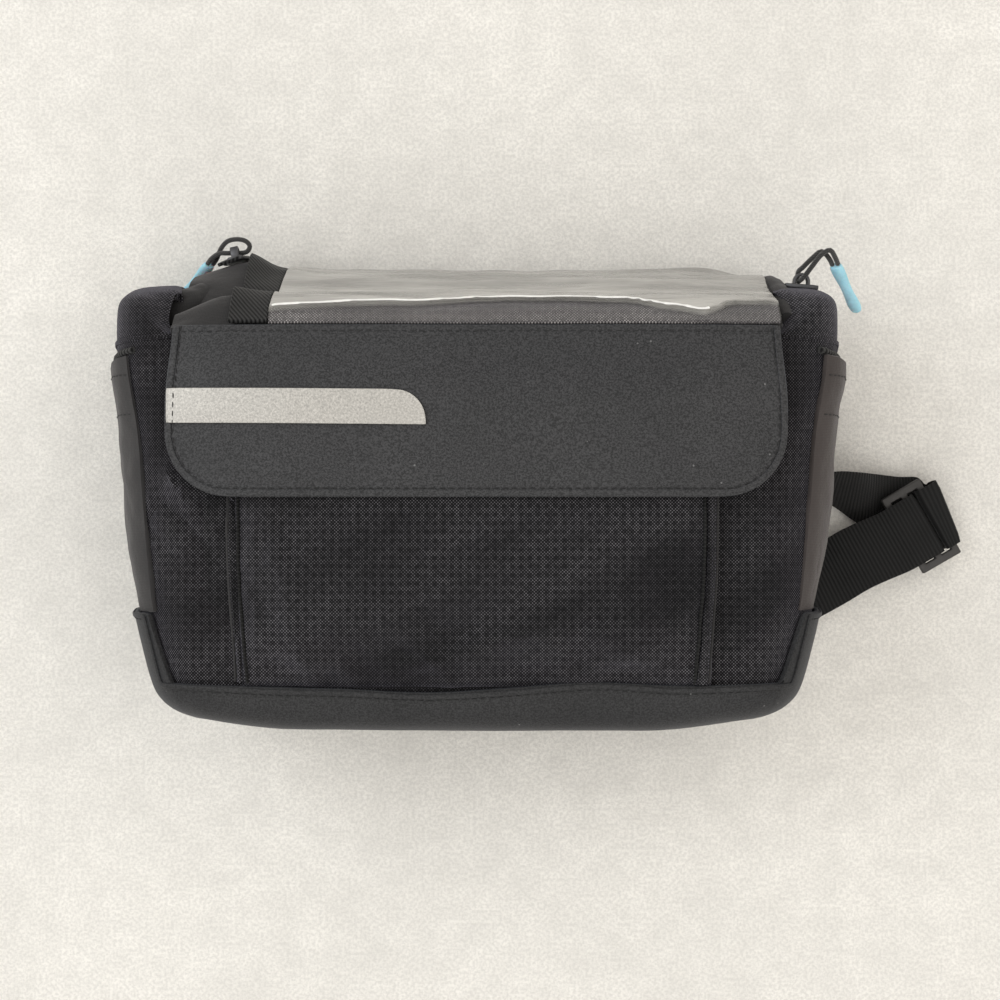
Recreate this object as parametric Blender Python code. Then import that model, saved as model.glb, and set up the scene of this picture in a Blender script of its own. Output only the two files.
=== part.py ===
"""Handlebar bag lying on its back: a padded woven tub with a rubberised base, a front pocket under a
rounded flap, a lid with a clear map window, two side pockets, a zip with cord pulls and a webbing strap.

Metres. +Z points out of the front of the bag, +Y towards its lid and +X to the right of its front.
The origin is the middle of the flat back panel.
"""

import math
from collections import namedtuple

import bmesh
import bpy
from mathutils import Matrix, Vector

# Clearances and fabric thicknesses
GAP = 0.0004
PADDED_WALL = 0.0035
SKIN = 0.0016
BACK_PANEL_THICKNESS = 0.0018
LID_THICKNESS = 0.0036
FLAP_THICKNESS = 0.0018
FILM_THICKNESS = 0.0010
STRIPE_THICKNESS = 0.0005

# Tub: its half widths, its depth from the back plane to the front wall, and its heights along Y
TUB_TOP_HALF_WIDTH = 0.1255
TUB_BASE_HALF_WIDTH = 0.1165
TUB_FRONT = 0.0880
TUB_BASE_Y = -0.0790
TUB_RIM_Y = 0.0715
TUB_SIDE_BULGE = 0.0030
TUB_FRONT_BULGE = 0.0020
FRONT_CORNER_RADIUS = 0.0240
BACK_CORNER_RADIUS = 0.0250
BASE_RADIUS = 0.0115
LEAST_RADIUS = 0.0020
SHOULDER_WIDTH = 0.0220
SHOULDER_RISE = 0.0085
SHOULDER_ROUNDNESS = 0.67

# Rubberised base tray: its rim's height above the base at the front, and at the sides
BAND_HEIGHT = 0.0125
BOOT_HEIGHT = 0.0370
BOOT_SEAM = 1.38
BOOT_SEAM_WIDTH = 0.10
BOOT_BACK = 4.40
BOOT_BACK_WIDTH = 0.50

# Back panel
BACK_PANEL_HALF_WIDTH = 0.0900
BACK_PANEL_MARGIN = 0.0060

# Side pockets
SIDE_POCKET_DEPTH = 0.0030
SIDE_POCKET_MOUTH_Y = 0.0470
SIDE_POCKET_MOUTH_DIP = 0.0040
SIDE_POCKET_FRONT = BOOT_SEAM + BOOT_SEAM_WIDTH
SIDE_POCKET_BACK = 3.90
BINDING_RADIUS = 0.0012

# Front pocket
POCKET_HALF_WIDTH = 0.0830
POCKET_TAPER = 0.0040
POCKET_DEPTH = 0.0080
POCKET_MOUTH_Y = 0.0290
POCKET_EDGE = 0.0075
POCKET_PUCKER = 0.0022

# Flap
FLAP_HALF_WIDTH = 0.1048
FLAP_TOP_HALF_WIDTH = 0.1030
FLAP_TOP_Y = 0.0562
FLAP_BOTTOM_Y = -0.0020
FLAP_CORNER_RADIUS = 0.0220
FLAP_CROWN = 0.1025
FLAP_TOP_DROP = 0.0103
FLAP_SIDE_DROP = 0.0070

# Reflective stripe across the flap's left side
STRIPE_TOP_Y = 0.0346
STRIPE_HEIGHT = 0.0117
STRIPE_END_X = -0.0166
STRIPE_CORNER_RADIUS = 0.0100
STRIPE_FALL = 0.0008

# Lid: its front edge is sewn to the flap's top and its surface climbs to the back
LID_HALF_WIDTH = 0.1032
LID_BACK_Z = 0.0062
LID_FRONT_Y = 0.0560
LID_CLIMB = 0.0270
LID_CORNER_FALL = 0.0080
WINDOW_LEFT_X = -0.0705
WINDOW_RIGHT_X = 0.1020
WINDOW_TAPE_WIDTH = 0.0130
RIGHT_TAPE_WIDTH = 0.0060
LID_PUFF = 0.0050
LID_ROWS = 17
LID_COLUMNS = 14

# Zip
ZIP_WIDTH = 0.0080
ZIP_THICKNESS = 0.0012
SLIDER_LENGTH = 0.0120
SLIDER_WIDTH = 0.0092
SLIDER_PLATE = 0.0012
SLIDER_HEIGHT = 0.0062
SLIDER_EYE = 0.0034
SLIDER_BRIDGE = 0.0030
SLIDER_ARCH = 1.15
# Places on the lid, as (across, back), and on the tub's right shoulder, as (around, level)
ZIP_PLACES = (
    (-0.885, 0.64),
    (-0.885, 0.70),
    (-0.885, 0.76),
    (-0.885, 0.82),
    (-0.840, 0.88),
    (-0.740, 0.945),
    (-0.600, 0.952),
    (-0.400, 0.952),
    (-0.200, 0.952),
    (0.000, 0.952),
    (0.200, 0.952),
    (0.400, 0.952),
    (0.600, 0.952),
    (0.740, 0.945),
    (0.840, 0.900),
)
ZIP_END_PLACES = (
    (2.95, 1.25),
    (2.95, 1.50),
    (2.95, 1.75),
    (3.05, 1.88),
    (3.50, 1.90),
    (4.00, 1.90),
    (4.40, 1.90),
)
LEFT_SLIDER_PLACE = (-0.865, 0.72)
RIGHT_SLIDER_PLACE = (2.95, 1.79)

# Cord pulls
CORD_DIAMETER = 0.0018
GRIP_LENGTH = 0.0240
GRIP_WIDTH = 0.0056
GRIP_THICKNESS = 0.0040

# Strap and its tri-glide
STRAP_WIDTH = 0.0250
STRAP_THICKNESS = 0.0014
STRAP_REACH = 0.0407
FIXED_END_HEIGHT = 0.0060
ADJUST_END_LOW = 0.0045
ADJUST_END_HIGH = 0.0245
FIXED_END_CLEARANCE = 0.0011
ADJUST_END_CLEARANCE = 0.0027
GLIDE_LENGTH = 0.0168
GLIDE_BAR = 0.0028
GLIDE_THICKNESS = 0.0024
GLIDE_RAIL = 0.0030
GLIDE_Y = -0.0130
GLIDE_HEIGHT = 0.01035
GLIDE_TURN = math.radians(30)

# The around scale of the tub's outline: 0 front middle, 1 to 2 the front corner, 3 the side's middle,
# 4 to 5 the back corner, 6 the back's middle. A minus sign is the left half.
RimStation = namedtuple("RimStation", "around height inset rise")
RIM_STATIONS = (
    RimStation(around=0.0, height=0.734, inset=0.14, rise=0.25),
    RimStation(around=1.0, height=0.734, inset=0.20, rise=0.30),
    RimStation(around=1.5, height=0.940, inset=0.90, rise=0.90),
    RimStation(around=2.0, height=0.960, inset=1.00, rise=1.00),
    RimStation(around=3.0, height=1.000, inset=1.00, rise=1.00),
    RimStation(around=4.0, height=1.000, inset=1.00, rise=0.90),
    RimStation(around=4.6, height=0.937, inset=0.70, rise=0.60),
    RimStation(around=5.0, height=0.937, inset=0.14, rise=0.60),
    RimStation(around=5.12, height=1.062, inset=0.14, rise=0.60),
    RimStation(around=6.0, height=1.062, inset=0.14, rise=0.60),
)

LidStation = namedtuple("LidStation", "back climb")
LID_STATIONS = (
    LidStation(back=0.00, climb=0.00),
    LidStation(back=0.06, climb=0.18),
    LidStation(back=0.17, climb=0.33),
    LidStation(back=0.36, climb=0.48),
    LidStation(back=0.56, climb=0.75),
    LidStation(back=0.74, climb=0.97),
    LidStation(back=0.88, climb=1.00),
    LidStation(back=1.00, climb=0.90),
)

# A fold is a soft ridge, or a dent where its height is negative. across and up place its middle as
# shares of the panel, turn is its direction in degrees, and the sizes are shares of the panel's width.
Fold = namedtuple("Fold", "across up turn length width height")
POCKET_FOLDS = (
    Fold(across=-0.20, up=0.44, turn=14, length=0.34, width=0.060, height=0.80),
    Fold(across=0.10, up=0.20, turn=28, length=0.20, width=0.040, height=0.75),
    Fold(across=-0.45, up=0.18, turn=-10, length=0.22, width=0.060, height=-0.60),
    Fold(across=0.45, up=0.22, turn=12, length=0.22, width=0.050, height=0.70),
    Fold(across=0.30, up=0.50, turn=-16, length=0.25, width=0.050, height=-0.55),
    Fold(across=-0.70, up=0.50, turn=78, length=0.20, width=0.040, height=0.45),
)
LID_FOLDS = (
    Fold(across=-0.80, up=0.17, turn=0, length=0.16, width=0.045, height=0.75),
    Fold(across=-0.80, up=0.33, turn=0, length=0.16, width=0.028, height=-0.95),
    Fold(across=-0.78, up=0.66, turn=8, length=0.14, width=0.085, height=0.75),
    Fold(across=0.30, up=0.16, turn=2, length=0.45, width=0.022, height=0.22),
    Fold(across=0.78, up=0.78, turn=12, length=0.16, width=0.060, height=0.30),
)

# A strand between the bag and the tri-glide. out is a share of the strap's reach, up and height are
# shares of its width from the tri-glide's middle and from the table, wide is its width there as a share,
# turn is the direction of its width in the plan and tilt lifts one edge, both in degrees.
Strand = namedtuple("Strand", "out up height wide turn tilt")
FIXED_STRAND = (
    Strand(out=-0.16, up=-1.02, height=0.22, wide=1.02, turn=20, tilt=0),
    Strand(out=0.14, up=-0.77, height=0.26, wide=1.00, turn=27, tilt=0),
    Strand(out=0.40, up=-0.50, height=0.38, wide=1.00, turn=29, tilt=0),
)
ADJUST_STRAND = (
    Strand(out=0.00, up=0.61, height=0.57, wide=1.00, turn=-25, tilt=68),
    Strand(out=0.18, up=0.58, height=0.54, wide=1.00, turn=0, tilt=61),
    Strand(out=0.40, up=0.45, height=0.42, wide=1.00, turn=0, tilt=44),
    Strand(out=0.62, up=0.32, height=0.22, wide=1.00, turn=2, tilt=20),
    Strand(out=0.86, up=0.26, height=0.12, wide=1.00, turn=4, tilt=6),
    Strand(out=1.06, up=0.26, height=0.10, wide=1.00, turn=10, tilt=0),
)
# A strand through the tri-glide. along is a share of half its length, layer counts plies up from the
# lowest, and turn is the direction of the strand's width, in degrees from the bars' own.
Thread = namedtuple("Thread", "along layer turn")
FIXED_THREAD = (
    Thread(along=-1.55, layer=5.65, turn=0),
    Thread(along=-0.90, layer=6.30, turn=0),
    Thread(along=-0.20, layer=6.30, turn=0),
    Thread(along=0.17, layer=6.30, turn=0),
    Thread(along=0.285, layer=6.10, turn=0),
    Thread(along=0.318, layer=5.60, turn=0),
    Thread(along=0.318, layer=4.30, turn=0),
    Thread(along=0.270, layer=3.85, turn=0),
    Thread(along=0.10, layer=3.70, turn=0),
    Thread(along=-0.20, layer=3.70, turn=0),
    Thread(along=-0.50, layer=3.85, turn=0),
)
ADJUST_THREAD = (
    Thread(along=1.00, layer=0.75, turn=-12),
    Thread(along=1.26, layer=1.45, turn=-8),
    Thread(along=1.40, layer=3.00, turn=-8),
    Thread(along=1.40, layer=4.90, turn=-8),
    Thread(along=1.30, layer=6.20, turn=-8),
    Thread(along=1.05, layer=6.40, turn=-6),
    Thread(along=0.76, layer=6.36, turn=-3),
    Thread(along=0.615, layer=6.20, turn=-1),
    Thread(along=0.545, layer=5.60, turn=0),
    Thread(along=0.545, layer=3.60, turn=0),
    Thread(along=0.49, layer=2.85, turn=0),
    Thread(along=0.33, layer=2.66, turn=0),
    Thread(along=-0.40, layer=2.66, turn=0),
    Thread(along=-1.30, layer=2.66, turn=0),
)

# The grips' sections from the cord's end down
GripStation = namedtuple("GripStation", "down width thickness")
GRIP_STATIONS = (
    GripStation(down=0.00, width=0.80, thickness=0.85),
    GripStation(down=0.07, width=1.00, thickness=1.00),
    GripStation(down=0.25, width=0.92, thickness=0.85),
    GripStation(down=0.50, width=0.70, thickness=0.66),
    GripStation(down=0.72, width=0.86, thickness=0.78),
    GripStation(down=0.90, width=1.00, thickness=0.85),
    GripStation(down=1.00, width=0.66, thickness=0.60),
)
# Where each grip starts and the way it hangs
RIGHT_GRIP = (Vector((0.1284, 0.0812, 0.0540)), Vector((0.38, -0.52, -0.55)))
LEFT_GRIP = (Vector((-0.1010, 0.0854, 0.0240)), Vector((-0.52, -0.42, -0.62)))

# The route of each pull cord, as points chosen by hand: out of the grip, through the slider's eye and back
RIGHT_CORD_ROUTE = (
    (0.1273, 0.0815, 0.0536),
    (0.1258, 0.0835, 0.0556),
    (0.1234, 0.0862, 0.0544),
    (0.1208, 0.0844, 0.0508),
    (0.1178, 0.0813, 0.0466),
    (0.1170, 0.0806, 0.0436),
    (0.1168, 0.0788, 0.0416),
    (0.1169, 0.0768, 0.0426),
    (0.1170, 0.0768, 0.0466),
    (0.1171, 0.0769, 0.0504),
    (0.1181, 0.0782, 0.0526),
    (0.1202, 0.0812, 0.0544),
    (0.1228, 0.0846, 0.0572),
    (0.1256, 0.0860, 0.0588),
    (0.1278, 0.0835, 0.0570),
    (0.1291, 0.0815, 0.0550),
)
LEFT_CORD_ROUTE = (
    (-0.1016, 0.0856, 0.0250),
    (-0.0999, 0.0872, 0.0270),
    (-0.0968, 0.0888, 0.0290),
    (-0.0935, 0.0889, 0.0298),
    (-0.0898, 0.0889, 0.0298),
    (-0.0864, 0.0893, 0.0300),
    (-0.0851, 0.0913, 0.0302),
    (-0.0864, 0.0932, 0.0304),
    (-0.0895, 0.0940, 0.0304),
    (-0.0935, 0.0934, 0.0294),
    (-0.0964, 0.0908, 0.0272),
    (-0.0979, 0.0878, 0.0256),
    (-0.0998, 0.0856, 0.0236),
)


def clear_scene():
    for obj in list(bpy.data.objects):
        bpy.data.objects.remove(obj, do_unlink=True)


def plain_material(name, color, roughness, metallic=0.0, alpha=1.0):
    material = bpy.data.materials.new(name)
    material.use_nodes = True
    shader = material.node_tree.nodes["Principled BSDF"]
    shader.inputs["Base Color"].default_value = (*color, 1.0)
    shader.inputs["Roughness"].default_value = roughness
    shader.inputs["Metallic"].default_value = metallic
    shader.inputs["Alpha"].default_value = alpha
    return material


def blend(start, end, share):
    return start + (end - start) * share


def ease(start, end, value):
    """0 below start and 1 above end, with a smooth climb between."""
    share = min(max((value - start) / (end - start), 0.0), 1.0)
    return share * share * (3.0 - 2.0 * share)


def read_table(rows, key, column):
    """The column's value at a key, eased between the rows on either side of it."""
    for low, high in zip(rows, rows[1:]):
        if key <= high[0]:
            share = ease(low[0], high[0], key)
            return blend(getattr(low, column), getattr(high, column), share)
    return getattr(rows[-1], column)


def read_curve(rows, key, column):
    """The column's value at a key on a Catmull-Rom curve through the rows."""
    last = len(rows) - 1
    for index in range(last):
        low, high = rows[index], rows[index + 1]
        if key <= high[0] or index == last - 1:
            break
    span = high[0] - low[0]
    share = (key - low[0]) / span
    before, after = rows[max(index - 1, 0)], rows[min(index + 2, last)]
    start, end = getattr(low, column), getattr(high, column)
    slope_in = (end - getattr(before, column)) / max(high[0] - before[0], span) * span
    slope_out = (getattr(after, column) - start) / max(after[0] - low[0], span) * span
    square, cube = share * share, share * share * share
    return (
        start * (2 * cube - 3 * square + 1)
        + slope_in * (cube - 2 * square + share)
        + end * (3 * square - 2 * cube)
        + slope_out * (cube - square)
    )


def fold_height(folds, across, up, aspect):
    """The sum of the folds at a place on a panel. aspect is the panel's height over its width."""
    total = 0.0
    for fold in folds:
        turn = math.radians(fold.turn)
        dx = across - fold.across
        dy = (up - fold.up) * aspect
        along = dx * math.cos(turn) + dy * math.sin(turn)
        aside = dy * math.cos(turn) - dx * math.sin(turn)
        total += fold.height * math.exp(-((along / fold.length) ** 2) - (aside / fold.width) ** 2)
    return total


# The tub's form, which every skin sewn to it follows


def outline_point(around, inset, half_width, front):
    """(x, z) of the tub's rounded outline, moved inwards by inset."""
    side = -1.0 if around < 0 else 1.0
    place = abs(around)
    front_radius = max(FRONT_CORNER_RADIUS - inset, LEAST_RADIUS)
    back_radius = max(BACK_CORNER_RADIUS - inset, LEAST_RADIUS)
    wide = half_width - inset
    top = front - inset
    back = BACK_PANEL_THICKNESS + GAP + inset
    if place <= 1:
        x = place * (wide - front_radius)
        z = top + TUB_FRONT_BULGE * math.cos(place * math.pi / 2) ** 2
    elif place <= 2:
        angle = (place - 1) * math.pi / 2
        x = wide - front_radius * (1 - math.sin(angle))
        z = top - front_radius * (1 - math.cos(angle))
    elif place <= 4:
        share = (place - 2) / 2
        x = wide + TUB_SIDE_BULGE * math.sin(share * math.pi) ** 2
        z = blend(top - front_radius, back + back_radius, share)
    elif place <= 5:
        angle = (place - 4) * math.pi / 2
        x = wide - back_radius * (1 - math.cos(angle))
        z = back + back_radius * (1 - math.sin(angle))
    else:
        x = (6 - place) * (wide - back_radius)
        z = back
    return side * x, z


def wall_top(around):
    """The height where the tub's wall starts to turn in towards its rim."""
    return TUB_RIM_Y * read_table(RIM_STATIONS, abs(around), "height") - SHOULDER_RISE * read_table(
        RIM_STATIONS, abs(around), "rise"
    )


def wall_foot():
    return TUB_BASE_Y + BASE_RADIUS


def tub_point(around, level):
    """A point of the tub's outer form. level is -1 to 0 over the base's edge, to 1 up the wall and to 2
    over the shoulder."""
    share = min(max(level, 0.0), 1.0)
    half_width = blend(TUB_BASE_HALF_WIDTH, TUB_TOP_HALF_WIDTH, math.sin(share * math.pi / 2))
    y = blend(wall_foot(), wall_top(around), share)
    inset = 0.0
    if level < 0:
        angle = -level * math.pi / 2
        inset = BASE_RADIUS * (1 - math.cos(angle))
        y -= BASE_RADIUS * math.sin(angle)
    if level > 1:
        angle = (level - 1) * math.pi / 2
        turned = 1 - abs(math.cos(angle)) ** SHOULDER_ROUNDNESS
        inset = SHOULDER_WIDTH * read_table(RIM_STATIONS, abs(around), "inset") * turned
        climbed = math.sin(angle) ** SHOULDER_ROUNDNESS
        y += SHOULDER_RISE * read_table(RIM_STATIONS, abs(around), "rise") * climbed
    x, z = outline_point(around, inset, half_width, TUB_FRONT)
    return Vector((x, y, z))


def tub_normal(around, level):
    step = 0.004
    low, high = max(level - step, -1.0), min(level + step, 2.0)
    across = tub_point(around + step, level) - tub_point(around - step, level)
    up = tub_point(around, high) - tub_point(around, low)
    return across.cross(up).normalized()


def tub_skin(around, level, offset):
    return tub_point(around, level) + tub_normal(around, level) * offset


def level_at(around, y):
    """The level at which the tub's wall has the height y."""
    return (y - wall_foot()) / (wall_top(around) - wall_foot())


def spread(start, end, count):
    return [blend(start, end, index / count) for index in range(count + 1)]


def half_outline():
    places = spread(0, 1, 3) + spread(1, 2, 5)[1:] + spread(2, 4, 4)[1:]
    return places + spread(4, 5, 4)[1:] + spread(5, 6, 3)[1:]


def full_outline():
    right = half_outline()
    left = [-place for place in right[-2:0:-1]]
    return right + left


# Mesh building


def object_from(name, vertices, faces, material):
    mesh = bpy.data.meshes.new(name)
    work = bmesh.new()
    points = [work.verts.new(vertex) for vertex in vertices]
    for face in faces:
        work.faces.new([points[index] for index in face])
    bmesh.ops.recalc_face_normals(work, faces=work.faces)
    work.to_mesh(mesh)
    work.free()
    mesh.shade_smooth()
    mesh.set_sharp_from_angle(angle=math.radians(40))
    mesh.materials.append(material)
    obj = bpy.data.objects.new(name, mesh)
    bpy.context.collection.objects.link(obj)
    return obj


def shell(name, outer, inner, material, ring=False, floor=False):
    """A wall between two grids of points with the same rows and columns. ring joins the last column to
    the first, and floor closes the first row of each grid with a face of its own. Every cell is split
    along the same diagonal, so that skins laid on each other stay clear."""
    rows, columns = len(outer), len(outer[0])
    vertices = [point for row in outer for point in row] + [point for row in inner for point in row]
    start = rows * columns
    around = columns if ring else columns - 1
    faces = []
    for row in range(rows - 1):
        for column in range(around):
            beside = (column + 1) % columns
            corner, aside = row * columns + column, row * columns + beside
            above, opposite = corner + columns, aside + columns
            for triangle in ([corner, aside, opposite], [corner, opposite, above]):
                faces.append(triangle)
                faces.append([start + index for index in reversed(triangle)])
    for column in range(around):
        beside = (column + 1) % columns
        top, top_beside = (rows - 1) * columns + column, (rows - 1) * columns + beside
        faces.append([top, top_beside, start + top_beside, start + top])
        if not floor:
            faces.append([column, beside, start + beside, start + column])
    if not ring:
        for row in range(rows - 1):
            for column in (0, columns - 1):
                low, high = row * columns + column, (row + 1) * columns + column
                faces.append([low, high, start + high, start + low])
    if floor:
        faces.append(list(range(columns)))
        faces.append([start + index for index in range(columns)])
    return object_from(name, vertices, faces, material)


def tube(name, points, diameter, material, sides_setting=2):
    """A round cord through the points, with closed ends."""
    curve = bpy.data.curves.new(name, "CURVE")
    curve.dimensions = "3D"
    curve.bevel_depth = diameter / 2
    curve.bevel_resolution = sides_setting
    curve.use_fill_caps = True
    spline = curve.splines.new("POLY")
    spline.points.add(len(points) - 1)
    for target, point in zip(spline.points, points):
        target.co = (*point, 1.0)
    curve.materials.append(material)
    obj = bpy.data.objects.new(name, curve)
    bpy.context.collection.objects.link(obj)
    return obj


def smooth_route(points, steps):
    """Points on a Catmull-Rom curve through the route's points."""
    points = [Vector(point) for point in points]
    ends = [points[0] * 2 - points[1]] + points + [points[-1] * 2 - points[-2]]
    route = []
    for before, start, end, after in zip(ends, ends[1:], ends[2:], ends[3:]):
        for step in range(steps):
            share = step / steps
            square, cube = share * share, share * share * share
            route.append(
                0.5
                * (
                    2 * start
                    + (end - before) * share
                    + (2 * before - 5 * start + 4 * end - after) * square
                    + (3 * start - before - 3 * end + after) * cube
                )
            )
    route.append(points[-1])
    return route


def ribbon(name, stations, thickness, material, steps=3):
    """A flat band through (middle, width vector) stations, smoothed between them."""
    middles = smooth_route([middle for middle, wide in stations], steps)
    wides = smooth_route([wide for middle, wide in stations], steps)
    outer, inner = [], []
    last = len(middles) - 1
    for index, (middle, wide) in enumerate(zip(middles, wides)):
        along = middles[min(index + 1, last)] - middles[max(index - 1, 0)]
        normal = along.cross(wide).normalized() * thickness / 2
        edges = [middle + wide * share for share in (-0.5, 0.0, 0.5)]
        outer.append([edge + normal for edge in edges])
        inner.append([edge - normal for edge in edges])
    return shell(name, outer, inner, material)


# Body pieces


def make_tub(material):
    levels = spread(-1, 0, 3) + spread(0, 1, 4)[1:] + spread(1, 2, 4)[1:]
    places = full_outline()
    outer = [[tub_skin(place, level, 0.0) for place in places] for level in levels]
    inner = [[tub_skin(place, level, -PADDED_WALL) for place in places] for level in levels]
    return shell("body_shell", outer, inner, material, ring=True, floor=True)


def tray_rim(around):
    """The height of the base tray's rim: a low band across the front and back, high boots at the sides."""
    place = abs(around)
    climb = ease(BOOT_SEAM, BOOT_SEAM + BOOT_SEAM_WIDTH, place)
    climb -= ease(BOOT_BACK, BOOT_BACK + BOOT_BACK_WIDTH, place)
    return TUB_BASE_Y + blend(BAND_HEIGHT, BOOT_HEIGHT, climb)


def make_base_tray(material):
    seams = {side * place for side in (-1, 1) for place in (BOOT_SEAM, SIDE_POCKET_FRONT, BOOT_BACK)}
    places = sorted(set(full_outline()) | seams, key=lambda place: place % 12)
    outer, inner = [], []
    for step in [*spread(-1, 0, 3), 0.5, 1.0]:
        outer_row, inner_row = [], []
        for place in places:
            rim = level_at(place, tray_rim(place))
            level = step if step < 0 else rim * step
            outer_row.append(tub_skin(place, level, GAP + SKIN))
            inner_row.append(tub_skin(place, level, GAP))
        outer.append(outer_row)
        inner.append(inner_row)
    return shell("base_tray", outer, inner, material, ring=True, floor=True)


def make_back_panel(material):
    low = tray_rim(6) + BACK_PANEL_MARGIN
    high = wall_top(6) - BACK_PANEL_MARGIN
    rows = spread(low, high, 4)
    columns = spread(-BACK_PANEL_HALF_WIDTH, BACK_PANEL_HALF_WIDTH, 6)
    outer = [[Vector((x, y, 0.0)) for x in columns] for y in rows]
    inner = [[Vector((x, y, BACK_PANEL_THICKNESS)) for x in columns] for y in rows]
    return shell("back_panel", outer, inner, material)


def side_pocket_mouth(place):
    share = (place - SIDE_POCKET_FRONT) / (SIDE_POCKET_BACK - SIDE_POCKET_FRONT)
    return SIDE_POCKET_MOUTH_Y - SIDE_POCKET_MOUTH_DIP * math.sin(share * math.pi)


def side_pocket_hollow(place, share):
    """How far the pocket's inner face stands off the tub, with a crease below the mouth."""
    span = (place - SIDE_POCKET_FRONT) / (SIDE_POCKET_BACK - SIDE_POCKET_FRONT)
    arch = math.sin(span * math.pi) ** 0.8
    belly = ease(0.0, 0.25, share) * blend(1.0, 0.72, ease(0.75, 1.0, share))
    crease = 0.20 * math.exp(-(((share - 0.78) / 0.045) ** 2))
    return SIDE_POCKET_DEPTH * arch * (belly - crease)


def make_side_pocket(name, side, material):
    between = [place for place in half_outline() if SIDE_POCKET_FRONT < place < SIDE_POCKET_BACK]
    places = [SIDE_POCKET_FRONT, *between, SIDE_POCKET_BACK]
    outer, inner = [], []
    for share in spread(0, 1, 10):
        outer_row, inner_row = [], []
        for place in places:
            low = tray_rim(place) + 2 * GAP
            level = level_at(place, blend(low, side_pocket_mouth(place), share))
            offset = GAP + side_pocket_hollow(place, share)
            outer_row.append(tub_skin(side * place, level, offset + SKIN))
            inner_row.append(tub_skin(side * place, level, offset))
        outer.append(outer_row)
        inner.append(inner_row)
    return shell(name, outer, inner, material)


def make_pocket_binding(name, side, material):
    points = []
    for place in spread(SIDE_POCKET_FRONT, SIDE_POCKET_BACK, 16):
        y = side_pocket_mouth(place) + BINDING_RADIUS + GAP
        offset = 2 * GAP + BINDING_RADIUS + side_pocket_hollow(place, 1.0)
        points.append(tub_skin(side * place, level_at(place, y), offset))
    return tube(name, points, BINDING_RADIUS * 2, material)


def front_of_tub(x, y):
    """Z of the tub's front at a place well inside its front corners."""
    straight = blend(TUB_BASE_HALF_WIDTH, TUB_TOP_HALF_WIDTH, 0.6) - FRONT_CORNER_RADIUS
    place = min(abs(x) / straight, 1.0)
    return tub_point(place, level_at(place, y)).z


def make_front_pocket(material):
    low = tray_rim(0) + 2 * GAP
    outer, inner = [], []
    edge_share = POCKET_EDGE / POCKET_HALF_WIDTH
    columns = [-1.0, -1 + edge_share * 0.3, *spread(-1 + edge_share, 1 - edge_share, 15)]
    columns += [1 - edge_share * 0.3, 1.0]
    aspect = (POCKET_MOUTH_Y - low) / POCKET_HALF_WIDTH
    for share in [0.0, 0.03] + spread(0.09, 1.0, 11):
        outer_row, inner_row = [], []
        y = blend(low, POCKET_MOUTH_Y, share)
        half_width = POCKET_HALF_WIDTH - POCKET_TAPER * (1 - share)
        for column in columns:
            x = column * half_width
            swell = ease(0.0, edge_share, 1 - abs(column)) * ease(-0.02, 0.16, share)
            swell *= blend(0.86, 1.0, math.cos(column * math.pi / 2))
            z = front_of_tub(x, y) + GAP + POCKET_DEPTH * swell
            z += POCKET_PUCKER * swell * fold_height(POCKET_FOLDS, column, share, aspect)
            inner_row.append(Vector((x, y, z)))
            outer_row.append(Vector((x * (1 + SKIN / half_width * 0.8), y, z + SKIN)))
        outer.append(outer_row)
        inner.append(inner_row)
    return shell("front_pocket", outer, inner, material)


# Flap


def flap_half_width(y):
    """Half the flap's width at a height: a little narrower at the top, with rounded lower corners."""
    share = ease(0.0, 0.5, (FLAP_TOP_Y - y) / (FLAP_TOP_Y - FLAP_BOTTOM_Y))
    wide = blend(FLAP_TOP_HALF_WIDTH, FLAP_HALF_WIDTH, share)
    below = FLAP_BOTTOM_Y + FLAP_CORNER_RADIUS - y
    if below > 0:
        wide -= FLAP_CORNER_RADIUS - math.sqrt(max(FLAP_CORNER_RADIUS**2 - below**2, 0.0))
    return wide


def flap_face(x, y):
    """Z of the flap's outer face."""
    down = (FLAP_TOP_Y - y) / (FLAP_TOP_Y - FLAP_BOTTOM_Y)
    aside = abs(x) / FLAP_HALF_WIDTH
    drop = FLAP_TOP_DROP * (1 - ease(-0.1, 0.45, down)) * (1 - 0.4 * aside * aside)
    return FLAP_CROWN - drop - FLAP_SIDE_DROP * aside**4


def flap_heights():
    """Heights of the flap's rows, set by equal angles round its lower corners."""
    straight = spread(FLAP_TOP_Y, FLAP_BOTTOM_Y + FLAP_CORNER_RADIUS, 6)
    centre = FLAP_BOTTOM_Y + FLAP_CORNER_RADIUS
    arc = [centre - FLAP_CORNER_RADIUS * math.sin(angle) for angle in spread(0, math.pi / 2, 6)[1:]]
    return straight + arc


def make_flap(material):
    columns = spread(-1, 1, 18)
    outer, inner = [], []
    for y in flap_heights():
        wide = flap_half_width(y)
        outer.append([Vector((share * wide, y, flap_face(share * wide, y))) for share in columns])
        inner.append([point - Vector((0, 0, FLAP_THICKNESS)) for point in outer[-1]])
    return shell("front_flap", outer, inner, material)


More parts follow.
